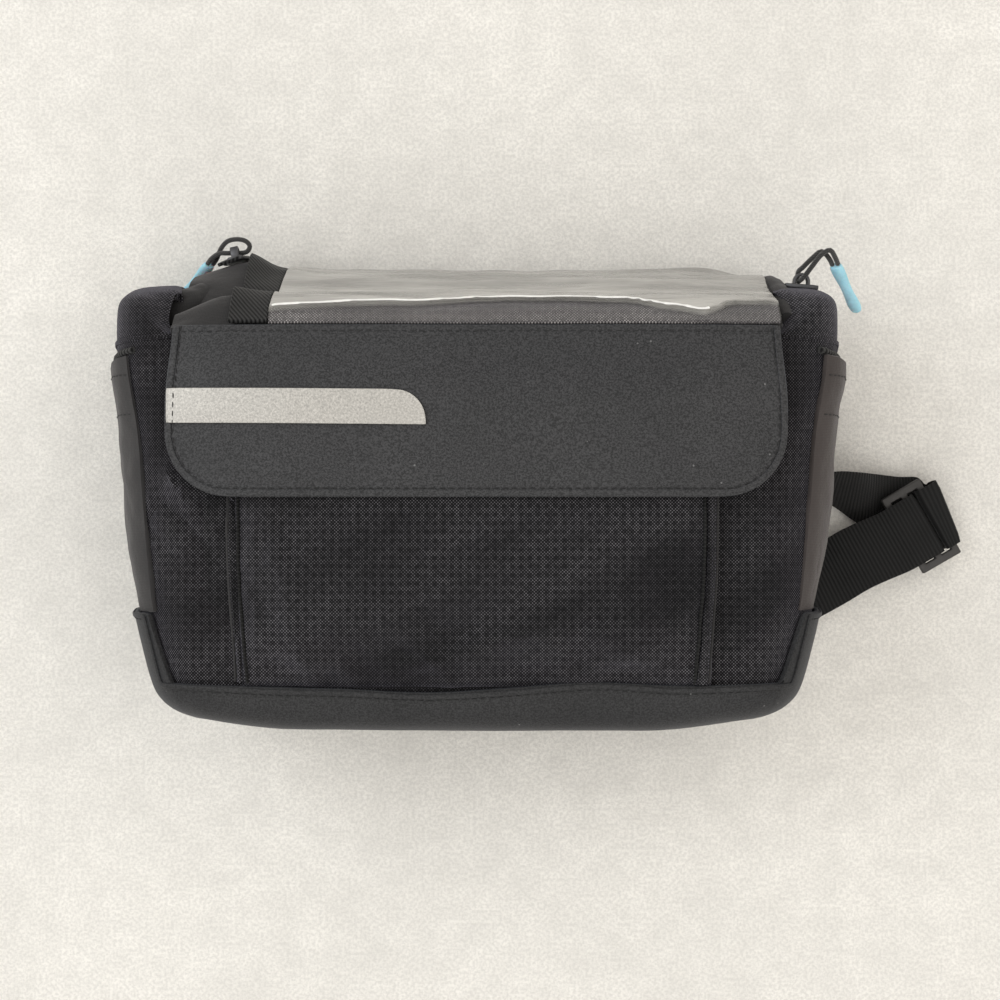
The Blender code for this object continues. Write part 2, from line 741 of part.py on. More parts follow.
def make_stripe(material):
    """The stripe's right end is square below and rounded above."""
    left = -flap_half_width(STRIPE_TOP_Y) + GAP
    right = STRIPE_END_X
    outer, inner = [], []
    arc = spread(0, math.pi / 2, 5)
    columns = spread(left, right - STRIPE_CORNER_RADIUS, 9)
    columns += [right - STRIPE_CORNER_RADIUS * (1 - math.sin(angle)) for angle in arc[1:]]
    for share in (0.0, 0.5, 1.0):
        outer_row, inner_row = [], []
        for x in columns:
            over = (x - right + STRIPE_CORNER_RADIUS) / STRIPE_CORNER_RADIUS
            cut = STRIPE_CORNER_RADIUS * (1 - math.sqrt(1 - max(over, 0.0) ** 2))
            bottom = STRIPE_TOP_Y - STRIPE_HEIGHT - STRIPE_FALL * (x - left) / (right - left)
            top = STRIPE_TOP_Y - STRIPE_FALL * (x - left) / (right - left) - cut
            y = blend(bottom, max(top, bottom + LEAST_RADIUS / 2), share)
            z = flap_face(x, y) + GAP
            inner_row.append(Vector((x, y, z)))
            outer_row.append(Vector((x, y, z + STRIPE_THICKNESS)))
        outer.append(outer_row)
        inner.append(inner_row)
    return shell("reflective_stripe", outer, inner, material)


# Lid and what is sewn on it


def lid_point(across, back):
    """A point of the lid's outer form: across from -1 to 1, back from 0 at the flap to 1 at the back."""
    x = across * LID_HALF_WIDTH
    front = flap_face(x, FLAP_TOP_Y) - FLAP_THICKNESS - GAP
    z = blend(front, LID_BACK_Z, back)
    aspect = (FLAP_CROWN - FLAP_TOP_DROP - LID_BACK_Z) / LID_HALF_WIDTH
    y = LID_FRONT_Y + LID_CLIMB * read_curve(LID_STATIONS, back, "climb")
    edge = ease(0.0, 0.10, back) * (1 - ease(0.9, 1.0, back))
    y += LID_PUFF * edge * fold_height(LID_FOLDS, across, back, aspect)
    y -= LID_CORNER_FALL * ease(0.86, 1.0, abs(across)) * ease(0.45, 0.95, back)
    return Vector((x, y, z))


def lid_skin(across, back, offset):
    step = 0.004
    aside = lid_point(across + step, back) - lid_point(across - step, back)
    behind = lid_point(across, min(back + step, 1.0)) - lid_point(across, max(back - step, 0.0))
    return lid_point(across, back) + aside.cross(behind).normalized() * offset


def lid_piece(name, left, right, first, last, offset, thickness, material):
    """A skin over part of the lid, from x left to x right and between two of the lid's rows."""
    start, end = left / LID_HALF_WIDTH, right / LID_HALF_WIDTH
    margin = 0.1 / LID_COLUMNS
    between = [place for place in spread(-1, 1, LID_COLUMNS) if start + margin < place < end - margin]
    across = [start, *between, end]
    along = spread(0, 1, LID_ROWS)[first : last + 1]
    outer = [[lid_skin(share, place, offset + thickness) for share in across] for place in along]
    inner = [[lid_skin(share, place, offset) for share in across] for place in along]
    return shell(name, outer, inner, material)


def make_lid(material):
    width = LID_HALF_WIDTH
    return lid_piece("lid", -width, width, 0, LID_ROWS, -LID_THICKNESS, LID_THICKNESS, material)


def make_window_parts(backing, film, webbing):
    on_lid = 1.5 * GAP
    on_backing = on_lid + SKIN / 2 + GAP
    left, right = WINDOW_LEFT_X, WINDOW_RIGHT_X
    last = LID_ROWS - 3
    lid_piece("window_backing", left, right, 0, last, on_lid, SKIN / 2, backing)
    lid_piece("map_window", left, right, 0, last, on_backing, FILM_THICKNESS, film)
    tape = left - GAP
    lid_piece("window_tape_left", tape - WINDOW_TAPE_WIDTH, tape, 0, last, on_lid + GAP, SKIN, webbing)


def make_right_tape(material):
    """The short dark tape at the window's right back corner."""
    first = round(LID_ROWS * 0.36)
    edge = LID_HALF_WIDTH
    lift = 4 * GAP + SKIN / 2 + FILM_THICKNESS
    width = RIGHT_TAPE_WIDTH
    lid_piece("window_tape_right", edge - width, edge, first, LID_ROWS - 3, lift, SKIN / 2, material)


# Zip, sliders and pulls


def make_zip(material):
    """The zip's tape along the back of the lid."""
    middles = [lid_skin(*place, ZIP_THICKNESS / 2 + 2 * GAP) for place in ZIP_PLACES]
    stations = []
    last = len(ZIP_PLACES) - 1
    for index, (across, back) in enumerate(ZIP_PLACES):
        along = middles[min(index + 1, last)] - middles[max(index - 1, 0)]
        up = lid_skin(across, back, ZIP_WIDTH) - lid_skin(across, back, 0.0)
        stations.append((middles[index], along.cross(up).normalized() * ZIP_WIDTH))
    ribbon("zip_tape", stations, ZIP_THICKNESS, material, 1)


def slider_frame(place, forward, up):
    """A frame at a place with X along the zip and Z away from the tape."""
    up = up.normalized()
    across = up.cross(forward).normalized()
    forward = across.cross(up)
    frame = Matrix((forward, across, up)).transposed().to_4x4()
    return Matrix.Translation(place) @ frame


def make_slider(name, frame, material):
    """A slider body on the tape with an arched bridge, whose eye the cord runs through."""
    body_height = SLIDER_HEIGHT - SLIDER_EYE - SLIDER_PLATE
    half, side = SLIDER_LENGTH / 2, SLIDER_WIDTH / 2
    outline = [(-half, -side * 0.55), (-half * 0.2, -side * 0.75), (half * 0.6, -side), (half, -side * 0.7)]
    outline += [(x, -y) for x, y in reversed(outline)]
    vertices = [frame @ Vector((x, y, z)) for z in (0.0, body_height) for x, y in outline]
    count = len(outline)
    faces = [list(range(count)), list(range(count, 2 * count))]
    faces += [[i, (i + 1) % count, count + (i + 1) % count, count + i] for i in range(count)]
    body = object_from(name, vertices, faces, material)
    reach, foot = SLIDER_EYE / 2 * SLIDER_ARCH, body_height - GAP
    outer, inner = [], []
    for y in (-SLIDER_BRIDGE / 2, SLIDER_BRIDGE / 2):
        outer_row, inner_row = [], []
        for angle in spread(math.pi, 0, 10):
            over = math.sin(angle) ** 0.6
            for row, wall in ((outer_row, SLIDER_PLATE), (inner_row, 0.0)):
                x = (reach + wall) * math.cos(angle)
                row.append(frame @ Vector((x, y, foot + (SLIDER_EYE + wall) * over)))
        outer.append(outer_row)
        inner.append(inner_row)
    bridge = shell(name + "_bridge", outer, inner, material)
    bridge.hide_render = True
    bridge.display_type = "WIRE"
    union = body.modifiers.new("bridge", "BOOLEAN")
    union.operation = "UNION"
    union.object = bridge


def make_grip(name, place, hang, material):
    """A moulded grip with waisted sides, hanging from a place."""
    down = hang.normalized()
    across = down.cross(Vector((0, 1, 0))).normalized()
    through = down.cross(across)
    sides = 10
    vertices, faces = [], []
    for station in GRIP_STATIONS:
        middle = place + down * GRIP_LENGTH * station.down
        for side in range(sides):
            angle = 2 * math.pi * side / sides
            wide = across * (GRIP_WIDTH / 2 * station.width * math.cos(angle))
            vertices.append(middle + wide + through * (GRIP_THICKNESS / 2 * station.thickness * math.sin(angle)))
    for row in range(len(GRIP_STATIONS) - 1):
        for side in range(sides):
            beside = (side + 1) % sides
            low, high = row * sides, (row + 1) * sides
            faces.append([low + side, low + beside, high + beside, high + side])
    faces.append(list(range(sides)))
    faces.append([len(vertices) - sides + side for side in range(sides)])
    object_from(name, vertices, faces, material)


def make_zip_end(material):
    """The zip's end, down the back of the right shoulder."""
    middles = [tub_skin(*place, GAP + ZIP_THICKNESS / 2) for place in ZIP_END_PLACES]
    stations = []
    last = len(ZIP_END_PLACES) - 1
    for index, place in enumerate(ZIP_END_PLACES):
        along = middles[min(index + 1, last)] - middles[max(index - 1, 0)]
        stations.append((middles[index], along.cross(tub_normal(*place)).normalized() * ZIP_WIDTH))
    ribbon("zip_tape_end", stations, ZIP_THICKNESS, material, 1)


def make_pulls(metal, cord, grip):
    left = lid_skin(*LEFT_SLIDER_PLACE, 3 * GAP + ZIP_THICKNESS)
    left_up = lid_skin(*LEFT_SLIDER_PLACE, 1.0) - lid_skin(*LEFT_SLIDER_PLACE, 0.0)
    make_slider("zip_slider_left", slider_frame(left, Vector((0, 0, -1)), left_up), metal)
    right = tub_skin(*RIGHT_SLIDER_PLACE, 3 * GAP + ZIP_THICKNESS)
    right_up = tub_normal(*RIGHT_SLIDER_PLACE)
    make_slider("zip_slider_right", slider_frame(right, Vector((1, 0, 0)), right_up), metal)
    tube("pull_cord_left", smooth_route(LEFT_CORD_ROUTE, 2), CORD_DIAMETER, cord)
    tube("pull_cord_right", smooth_route(RIGHT_CORD_ROUTE, 2), CORD_DIAMETER, cord)
    make_grip("pull_grip_left", *LEFT_GRIP, grip)
    make_grip("pull_grip_right", *RIGHT_GRIP, grip)


# Strap


def glide_middle():
    return Vector((TUB_TOP_HALF_WIDTH + TUB_SIDE_BULGE + STRAP_REACH, GLIDE_Y, GLIDE_HEIGHT))


def strand_stations(strands):
    stations = []
    for strand in strands:
        middle = Vector(
            (
                glide_middle().x - STRAP_REACH * (1 - strand.out),
                GLIDE_Y + strand.up * STRAP_WIDTH,
                strand.height * STRAP_WIDTH,
            )
        )
        turn, tilt = math.radians(strand.turn), math.radians(strand.tilt)
        flat = Vector((-math.sin(turn), math.cos(turn), 0))
        wide = flat * math.cos(tilt) + Vector((0, 0, math.sin(tilt)))
        stations.append((middle, wide * STRAP_WIDTH * strand.wide))
    return stations


def strap_end(low, high, clearance):
    """The station where a strand is sewn to the tub, from two (y, height) places on its back corner."""
    ends = []
    for y, height in (low, high):
        rise = (height - BACK_PANEL_THICKNESS - GAP) / BACK_CORNER_RADIUS
        around = 4 + math.asin(1 - rise) * 2 / math.pi
        ends.append(tub_skin(around, level_at(around, y), GAP + SKIN + clearance))
    return (ends[0] + ends[1]) / 2, ends[1] - ends[0]


def thread_stations(threads):
    stations = []
    along = Vector((math.cos(GLIDE_TURN), math.sin(GLIDE_TURN), 0))
    lowest = STRAP_THICKNESS / 2 + 2 * GAP
    for thread in threads:
        middle = glide_middle() + along * (thread.along * GLIDE_LENGTH / 2)
        middle.z = lowest + thread.layer * (STRAP_THICKNESS + GAP)
        turn = GLIDE_TURN + math.radians(thread.turn)
        stations.append((middle, Vector((-math.sin(turn), math.cos(turn), 0)) * STRAP_WIDTH))
    return stations


def make_glide(material):
    """The tri-glide: two rails joined by three bars, with a slot on each side of the middle bar."""
    frame = Matrix.Translation(glide_middle()) @ Matrix.Rotation(GLIDE_TURN, 4, "Z")
    slot = (GLIDE_LENGTH - 3 * GLIDE_BAR) / 2
    half_slot = STRAP_WIDTH / 2 + 2 * GAP
    edges_x = [-GLIDE_LENGTH / 2, -GLIDE_BAR / 2 - slot, -GLIDE_BAR / 2]
    edges_x += [-edge for edge in reversed(edges_x)]
    edges_y = [-half_slot - GLIDE_RAIL, -half_slot, half_slot, half_slot + GLIDE_RAIL]
    columns, rows = len(edges_x), len(edges_y)
    cells = [
        (column, row)
        for row in range(rows - 1)
        for column in range(columns - 1)
        if row != 1 or column % 2 == 0
    ]
    faces_z = (-GLIDE_THICKNESS / 2, GLIDE_THICKNESS / 2)
    vertices = [frame @ Vector((x, y, z)) for z in faces_z for y in edges_y for x in edges_x]
    layer = columns * rows
    faces = []
    for column, row in cells:
        corner = row * columns + column
        quad = [corner, corner + 1, corner + columns + 1, corner + columns]
        faces.append(quad)
        faces.append([layer + index for index in reversed(quad)])
        beside = {(0, -1): (0, 1), (1, 0): (1, 2), (0, 1): (2, 3), (-1, 0): (3, 0)}
        for (dx, dy), (start, end) in beside.items():
            if (column + dx, row + dy) not in cells:
                faces.append([quad[start], quad[end], layer + quad[end], layer + quad[start]])
    object_from("strap_glide", vertices, faces, material)


def make_strap(webbing, plastic):
    fixed_y = GLIDE_Y - STRAP_REACH * math.tan(GLIDE_TURN) - STRAP_WIDTH / 4
    half = STRAP_WIDTH / 2 / math.cos(GLIDE_TURN)
    edges = (fixed_y - half, FIXED_END_HEIGHT), (fixed_y + half, FIXED_END_HEIGHT)
    sewn = strap_end(*edges, FIXED_END_CLEARANCE)
    fixed = [sewn] + strand_stations(FIXED_STRAND) + thread_stations(FIXED_THREAD)
    adjust_y = GLIDE_Y + ADJUST_STRAND[0].up * STRAP_WIDTH
    edges = (adjust_y, ADJUST_END_LOW), (adjust_y, ADJUST_END_HIGH)
    sewn = strap_end(*edges, ADJUST_END_CLEARANCE)
    adjust = [sewn] + strand_stations(ADJUST_STRAND) + thread_stations(ADJUST_THREAD)
    ribbon("strap_fixed", fixed, STRAP_THICKNESS, webbing, 2)
    ribbon("strap_adjust", adjust, STRAP_THICKNESS, webbing, 2)
    make_glide(plastic)


def build():
    clear_scene()
    woven = plain_material("woven_fabric", (0.040, 0.040, 0.046), 0.85)
    rubberised = plain_material("rubberised_fabric", (0.030, 0.031, 0.034), 0.55)
    smooth = plain_material("smooth_fabric", (0.045, 0.044, 0.047), 0.75)
    webbing = plain_material("black_webbing", (0.022, 0.022, 0.024), 0.70)
    film = plain_material("clear_film", (0.80, 0.80, 0.80), 0.20, alpha=0.35)
    metal = plain_material("slider_metal", (0.20, 0.20, 0.21), 0.45, metallic=0.8)
    cord = plain_material("black_cord", (0.025, 0.025, 0.027), 0.60)
    grip = plain_material("light_blue_grip", (0.19, 0.55, 0.76), 0.45)
    plastic = plain_material("black_plastic", (0.045, 0.045, 0.048), 0.45)
    reflective = plain_material("reflective_silver", (0.60, 0.59, 0.56), 0.45)
    make_tub(woven)
    make_base_tray(rubberised)
    make_back_panel(woven)
    for name, side in (("left", -1), ("right", 1)):
        make_side_pocket(f"side_pocket_{name}", side, smooth)
        make_pocket_binding(f"pocket_binding_{name}", side, webbing)
    make_front_pocket(woven)
    make_flap(rubberised)
    make_stripe(reflective)
    make_lid(smooth)
    make_window_parts(woven, film, webbing)
    make_right_tape(webbing)
    make_zip(webbing)
    make_zip_end(webbing)
    make_pulls(metal, cord, grip)
    make_strap(webbing, plastic)


build()
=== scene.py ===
"""Finished handlebar bag lying on its back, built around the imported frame.

Each piece takes its shape from the frame's node or from what it lies on, in metres.
"""

import math

import bmesh
import bpy
from bpy.props import FloatProperty, FloatVectorProperty, PointerProperty
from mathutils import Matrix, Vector, noise
from mathutils.bvhtree import BVHTree


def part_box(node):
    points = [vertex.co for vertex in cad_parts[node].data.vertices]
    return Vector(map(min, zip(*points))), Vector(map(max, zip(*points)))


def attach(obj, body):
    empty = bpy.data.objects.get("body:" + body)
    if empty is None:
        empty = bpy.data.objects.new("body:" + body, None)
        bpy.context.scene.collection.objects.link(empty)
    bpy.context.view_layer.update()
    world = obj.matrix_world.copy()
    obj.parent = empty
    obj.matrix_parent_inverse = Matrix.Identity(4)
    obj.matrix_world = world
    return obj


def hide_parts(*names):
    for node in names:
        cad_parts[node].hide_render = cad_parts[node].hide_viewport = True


bl_info = {
    "name": "Handlebar bag",
    "version": (1, 0, 0),
    "blender": (4, 5, 0),
    "location": "3D View > Sidebar > Bag",
    "description": "Dresses the packed handlebar bag in cloth, film, webbing and metal",
    "category": "Add Mesh",
}

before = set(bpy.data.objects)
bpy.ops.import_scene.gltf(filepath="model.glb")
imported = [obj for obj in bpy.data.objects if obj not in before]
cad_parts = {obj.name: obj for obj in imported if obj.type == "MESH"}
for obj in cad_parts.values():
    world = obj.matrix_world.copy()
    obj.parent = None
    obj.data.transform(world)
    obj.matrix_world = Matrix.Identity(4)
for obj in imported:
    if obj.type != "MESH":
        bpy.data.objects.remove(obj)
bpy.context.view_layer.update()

# The tub's rounded outline, which cloth patterns and seams are laid out on
HALF_WIDTH = 0.1225
FRONT_Z = 0.0890
BACK_Z = 0.0022
CORNER = 0.0245
SIDE_RUN = FRONT_Z - BACK_Z - 2 * CORNER
ARC = CORNER * math.pi / 2
FLAT = HALF_WIDTH - CORNER
SHOULDER_Y = 0.0525

# How far a face's normal leans to the front or the base where its cloth is laid flat
FRONT_LEAN = 0.35
BASE_LEAN = 0.7

SIDES = (("left", -1), ("right", 1))

# Where straight lines start that look for a surface, above the bag and outside its outline
RAY_HEIGHT = 0.2
RAY_CLEARANCE = 0.04

# Hems and stitches
HEM_THICKNESS = 0.0007
STITCH_LIFT = 0.0001

# Camera over the table
CAMERA_PLACE = (0.008, -0.003, 0.700)
FOCAL_LENGTH = 64.8
SENSOR = 36.0

# Lamps as (name, place, size, power, tint), with the room's light and the floor's size
LAMPS = (
    ("window", (-1.0, 0.45, 1.1), 0.9, 8.8, (0.95, 0.98, 1.0)),
    ("room", (0.9, 0.4, 1.2), 1.4, 4.5, (1.0, 0.93, 0.85)),
    ("fill", (0.1, -0.9, 1.4), 1.6, 10.3, (1.0, 0.985, 0.95)),
)
WORLD_TINT = (1.0, 0.97, 0.93, 1.0)
WORLD_STRENGTH = 0.64
FLOOR_SIZE = 6.0

# The webbing. Each strand is sewn on at a (middle, width vector) station.
STRAP_WIDTH = 0.0250
STRAP_REACH = 0.0407
PLY_PITCH = 0.0018
LOWEST_PLY = 0.0015
GLIDE_TURN = math.radians(30)
GLIDE_HALF_LENGTH = 0.0084
FIXED_SEWN_END = ((0.1090, -0.0429, 0.0034), (0.0030, 0.0289, 0.0000))
ADJUST_SEWN_END = ((0.1192, 0.0020, 0.0121), (0.0170, -0.0002, 0.0238))

# Strands up to the tri-glide as (out, up, height, width, turn, tilt). out is a share of the strap's reach,
# up, height and width are shares of the webbing's width, and turn and tilt are in degrees.
FIXED_STRAND = (
    (-0.16, -1.02, 0.22, 1.02, 20, 0),
    (0.14, -0.77, 0.26, 1.00, 27, 0),
    (0.40, -0.50, 0.38, 1.00, 29, 0),
)
ADJUST_STRAND = (
    (0.00, 0.61, 0.57, 1.00, -25, 68),
    (0.18, 0.58, 0.54, 1.00, 0, 61),
    (0.40, 0.45, 0.42, 1.00, 0, 44),
    (0.62, 0.32, 0.22, 1.00, 2, 20),
    (0.86, 0.26, 0.12, 1.00, 4, 6),
    (1.06, 0.26, 0.10, 1.00, 10, 0),
)

# Webbing through the tri-glide as (along, layer, turn). along is a share of half its length, layer counts
# plies up from the lowest, and turn is in degrees from the bars' own direction.
FIXED_THREAD = (
    (-1.55, 5.65, 0),
    (-0.90, 6.30, 0),
    (-0.20, 6.30, 0),
    (0.17, 6.30, 0),
    (0.285, 6.10, 0),
    (0.318, 5.60, 0),
    (0.318, 4.30, 0),
    (0.270, 3.85, 0),
    (0.10, 3.70, 0),
    (-0.20, 3.70, 0),
    (-0.50, 3.85, 0),
)
ADJUST_THREAD = (
    (1.00, 0.75, -12),
    (1.26, 1.45, -8),
    (1.40, 3.00, -8),
    (1.40, 4.90, -8),
    (1.30, 6.20, -8),
    (1.05, 6.40, -6),
    (0.76, 6.36, -3),
    (0.615, 6.20, -1),
    (0.545, 5.60, 0),
    (0.545, 3.60, 0),
    (0.49, 2.85, 0),
    (0.33, 2.66, 0),
    (-0.40, 2.66, 0),
    (-1.30, 2.66, 0),
)

# The routes of the pull cords, out of each grip, through its slider's eye and back
RIGHT_CORD_ROUTE = (
    (0.1273, 0.0815, 0.0536),
    (0.1258, 0.0835, 0.0556),
    (0.1234, 0.0862, 0.0544),
    (0.1208, 0.0844, 0.0508),
    (0.1178, 0.0813, 0.0466),
    (0.1170, 0.0806, 0.0436),
    (0.1168, 0.0788, 0.0416),
    (0.1169, 0.0768, 0.0426),
    (0.1170, 0.0768, 0.0466),
    (0.1171, 0.0769, 0.0504),
    (0.1181, 0.0782, 0.0526),
    (0.1202, 0.0812, 0.0544),
    (0.1228, 0.0846, 0.0572),
    (0.1256, 0.0860, 0.0588),
    (0.1278, 0.0835, 0.0570),
    (0.1291, 0.0815, 0.0550),
)
LEFT_CORD_ROUTE = (
    (-0.1016, 0.0856, 0.0250),
    (-0.0999, 0.0872, 0.0270),
    (-0.0968, 0.0888, 0.0290),
    (-0.0935, 0.0889, 0.0298),
    (-0.0898, 0.0889, 0.0298),
    (-0.0864, 0.0893, 0.0300),
    (-0.0851, 0.0913, 0.0302),
    (-0.0864, 0.0932, 0.0304),
    (-0.0895, 0.0940, 0.0304),
    (-0.0935, 0.0934, 0.0294),
    (-0.0964, 0.0908, 0.0272),
    (-0.0979, 0.0878, 0.0256),
    (-0.0998, 0.0856, 0.0236),
)

# Folded cloth beside the lid's ends as (middle, radius)
GUSSET_LEFT = (
    ((-0.1062, 0.0570, 0.0640), 0.0042),
    ((-0.1060, 0.0625, 0.0600), 0.0056),
    ((-0.1035, 0.0662, 0.0540), 0.0068),
    ((-0.0988, 0.0690, 0.0450), 0.0074),
    ((-0.0970, 0.0695, 0.0330), 0.0066),
    ((-0.0985, 0.0660, 0.0200), 0.0050),
    ((-0.1000, 0.0620, 0.0100), 0.0035),
)
GUSSET_RIGHT = (
    ((0.1072, 0.0600, 0.0780), 0.0020),
    ((0.1080, 0.0665, 0.0640), 0.0034),
    ((0.1078, 0.0720, 0.0500), 0.0042),
    ((0.1072, 0.0748, 0.0390), 0.0045),
    ((0.1064, 0.0752, 0.0270), 0.0042),
    ((0.1050, 0.0690, 0.0140), 0.0034),
)

# Soft folds of the body beside the front pocket, and of the pocket, as (start, end, width, height)
BODY_FOLDS = (
    ((-0.104, 0.006), (-0.084, -0.014), 0.0040, 0.0048),
    ((-0.110, -0.006), (-0.092, -0.026), 0.0070, -0.0020),
)
POCKET_FOLDS = (
    ((-0.050, -0.040), (0.046, -0.014), 0.0080, 0.0026),
    ((-0.034, -0.055), (0.060, -0.030), 0.0065, -0.0022),
    ((-0.020, -0.060), (0.044, -0.036), 0.0035, 0.0014),
    ((0.040, -0.046), (0.064, -0.064), 0.0040, 0.0014),
    ((-0.070, -0.004), (-0.058, -0.060), 0.0045, 0.0012),
    ((0.054, -0.010), (0.070, -0.050), 0.0060, -0.0014),
)

# The front pocket's side seams: a strip with stitches, a band of lighter cloth outside it as a painted
# highlight where the pocket curves up, and a band of dark webbing inside it as painted shade in the hollow
# there
SEAM_WIDTH = 0.0038
SEAM_THICKNESS = 0.0016
SEAM_ROWS = (-0.0013, 0.0013)
SEAM_EDGES = (("edge", "smooth", 0.0022), ("shade_groove", "webbing", -0.0024))
SEAM_EDGE_WIDTH = 0.0009
SEAM_EDGE_THICKNESS = 0.0011

# Heights of the side pockets' rows of stitches
SIDE_ROWS = (0.0265, 0.0400)

# The tray's rim: heights in front and at the boots, and the girths between which it is sampled, as
# (start, pitch, first step, end step)
RIM_FRONT = -0.0665
RIM_BOOT = -0.0420
RIM_STRETCHES = (
    (0.0, 0.0012, 0, 91),
    (0.1100, 0.0003, 1, 31),
    (0.1190, 0.0020, 1, 35),
    (0.1880, 0.0008, 1, 30),
)
RIM_END = 0.2050

# The flap's corner radius, and its side above the corner as (half width, height)
FLAP_CORNER = 0.022
FLAP_SIDE = ((0.1036, 0.0440), (0.1045, 0.0330))
FLAP_TOP_HALF_WIDTH = 0.1030

# The film's fold as (place across the window, height); a pale band along it is a painted highlight
FILM_FOLD = (
    (-0.080, 0.0888),
    (-0.026, 0.0858),
    (0.015, 0.0825),
    (0.050, 0.0840),
    (0.066, 0.0880),
    (0.077, 0.0898),
    (0.089, 0.0840),
    (0.104, 0.0828),
)
FOLD_ENDS = (-0.0695, 0.0790)


def length(name, description, value):
    return FloatProperty(name=name, description=description, default=value, unit="LENGTH")


class BagSizes(bpy.types.PropertyGroup):
    """Sizes of the bag's finish"""

    wrinkle: length("Wrinkles", "Height of the cloth's soft wrinkles", 0.0011)
    weave_pitch: length("Weave", "Pitch of the woven cloth's yarns", 0.0011)
    rib_pitch: length("Ribs", "Pitch of the webbing's ribs", 0.00145)
    hem_width: length("Hem", "Width of the folded hems", 0.0022)
    stitch_pitch: length("Stitch pitch", "From one stitch to the next", 0.0030)
    stitch_length: length("Stitch length", "Length of one stitch", 0.0018)
    thread: length("Thread", "Thickness of the sewing thread", 0.00036)
    cord: length("Cord", "Diameter of the pull cords", 0.0018)
    strap: length("Webbing", "Thickness of the strap", 0.0014)


def colour(name, description, value):
    return FloatVectorProperty(
        name=name, description=description, subtype="COLOR", size=3, default=value, min=0, max=1
    )


class BagColours(bpy.types.PropertyGroup):
    """Colours of the bag's cloths and fittings"""

    woven: colour("Woven cloth", "Front, pocket and shoulders", (0.0215, 0.0208, 0.0222))
    rubberised: colour("Rubberised cloth", "Flap", (0.0255, 0.0255, 0.0265))
    smooth: colour("Smooth cloth", "Left side pocket", (0.0290, 0.0280, 0.0285))
    # The same smooth cloth as the left pocket, painted lighter and warmer: painted light falling on the right
    # side pocket
    lit_smooth: colour("Lit smooth cloth", "Right side pocket", (0.0460, 0.0385, 0.0365))
    lid: colour("Lid cloth", "Lid and the folds beside it", (0.0215, 0.0210, 0.0215))
    # The flap's rubberised cloth painted darker for the base tray: painted shade on the tray, which faces
    # away from the light
    tray: colour("Shaded tray cloth", "Rubberised base tray", (0.0165, 0.0165, 0.0172))
    backing: colour("Window backing", "Cloth behind the film", (0.170, 0.160, 0.159))
    webbing: colour("Webbing", "Strap and tapes", (0.0085, 0.0085, 0.0085))
    thread: colour("Thread", "Sewing thread", (0.0130, 0.0130, 0.0135))
    # Pale grey for the film: its own haze together with a painted reflection of the bright room at a grazing
    # angle
    film: colour("Film", "Map window", (0.465, 0.455, 0.430))
    silver: colour("Silver", "Reflective stripe", (0.434, 0.418, 0.388))
    metal: colour("Metal", "Zip sliders", (0.10, 0.10, 0.105))
    cord: colour("Cord", "Pull cords", (0.022, 0.021, 0.020))
    grip: colour("Grip", "Moulded grips", (0.30, 0.64, 0.78))
    plastic: colour("Plastic", "Tri-glide", (0.030, 0.028, 0.027))
    floor: colour("Floor", "Pale sheet under the bag", (0.740, 0.722, 0.682))


def sizes():
    return bpy.context.scene.bag_sizes


def colours():
    return bpy.context.scene.bag_colours


def blend(start, end, share):
    return start + (end - start) * share


def spread(start, end, steps):
    """Evenly spaced values from start to end."""
    return [blend(start, end, index / steps) for index in range(steps + 1)]


def ease(start, end, value):
    """0 before start and 1 after end, with a smooth climb between."""
    share = min(max((value - start) / (end - start), 0.0), 1.0)
    return share * share * (3.0 - 2.0 * share)


# Materials


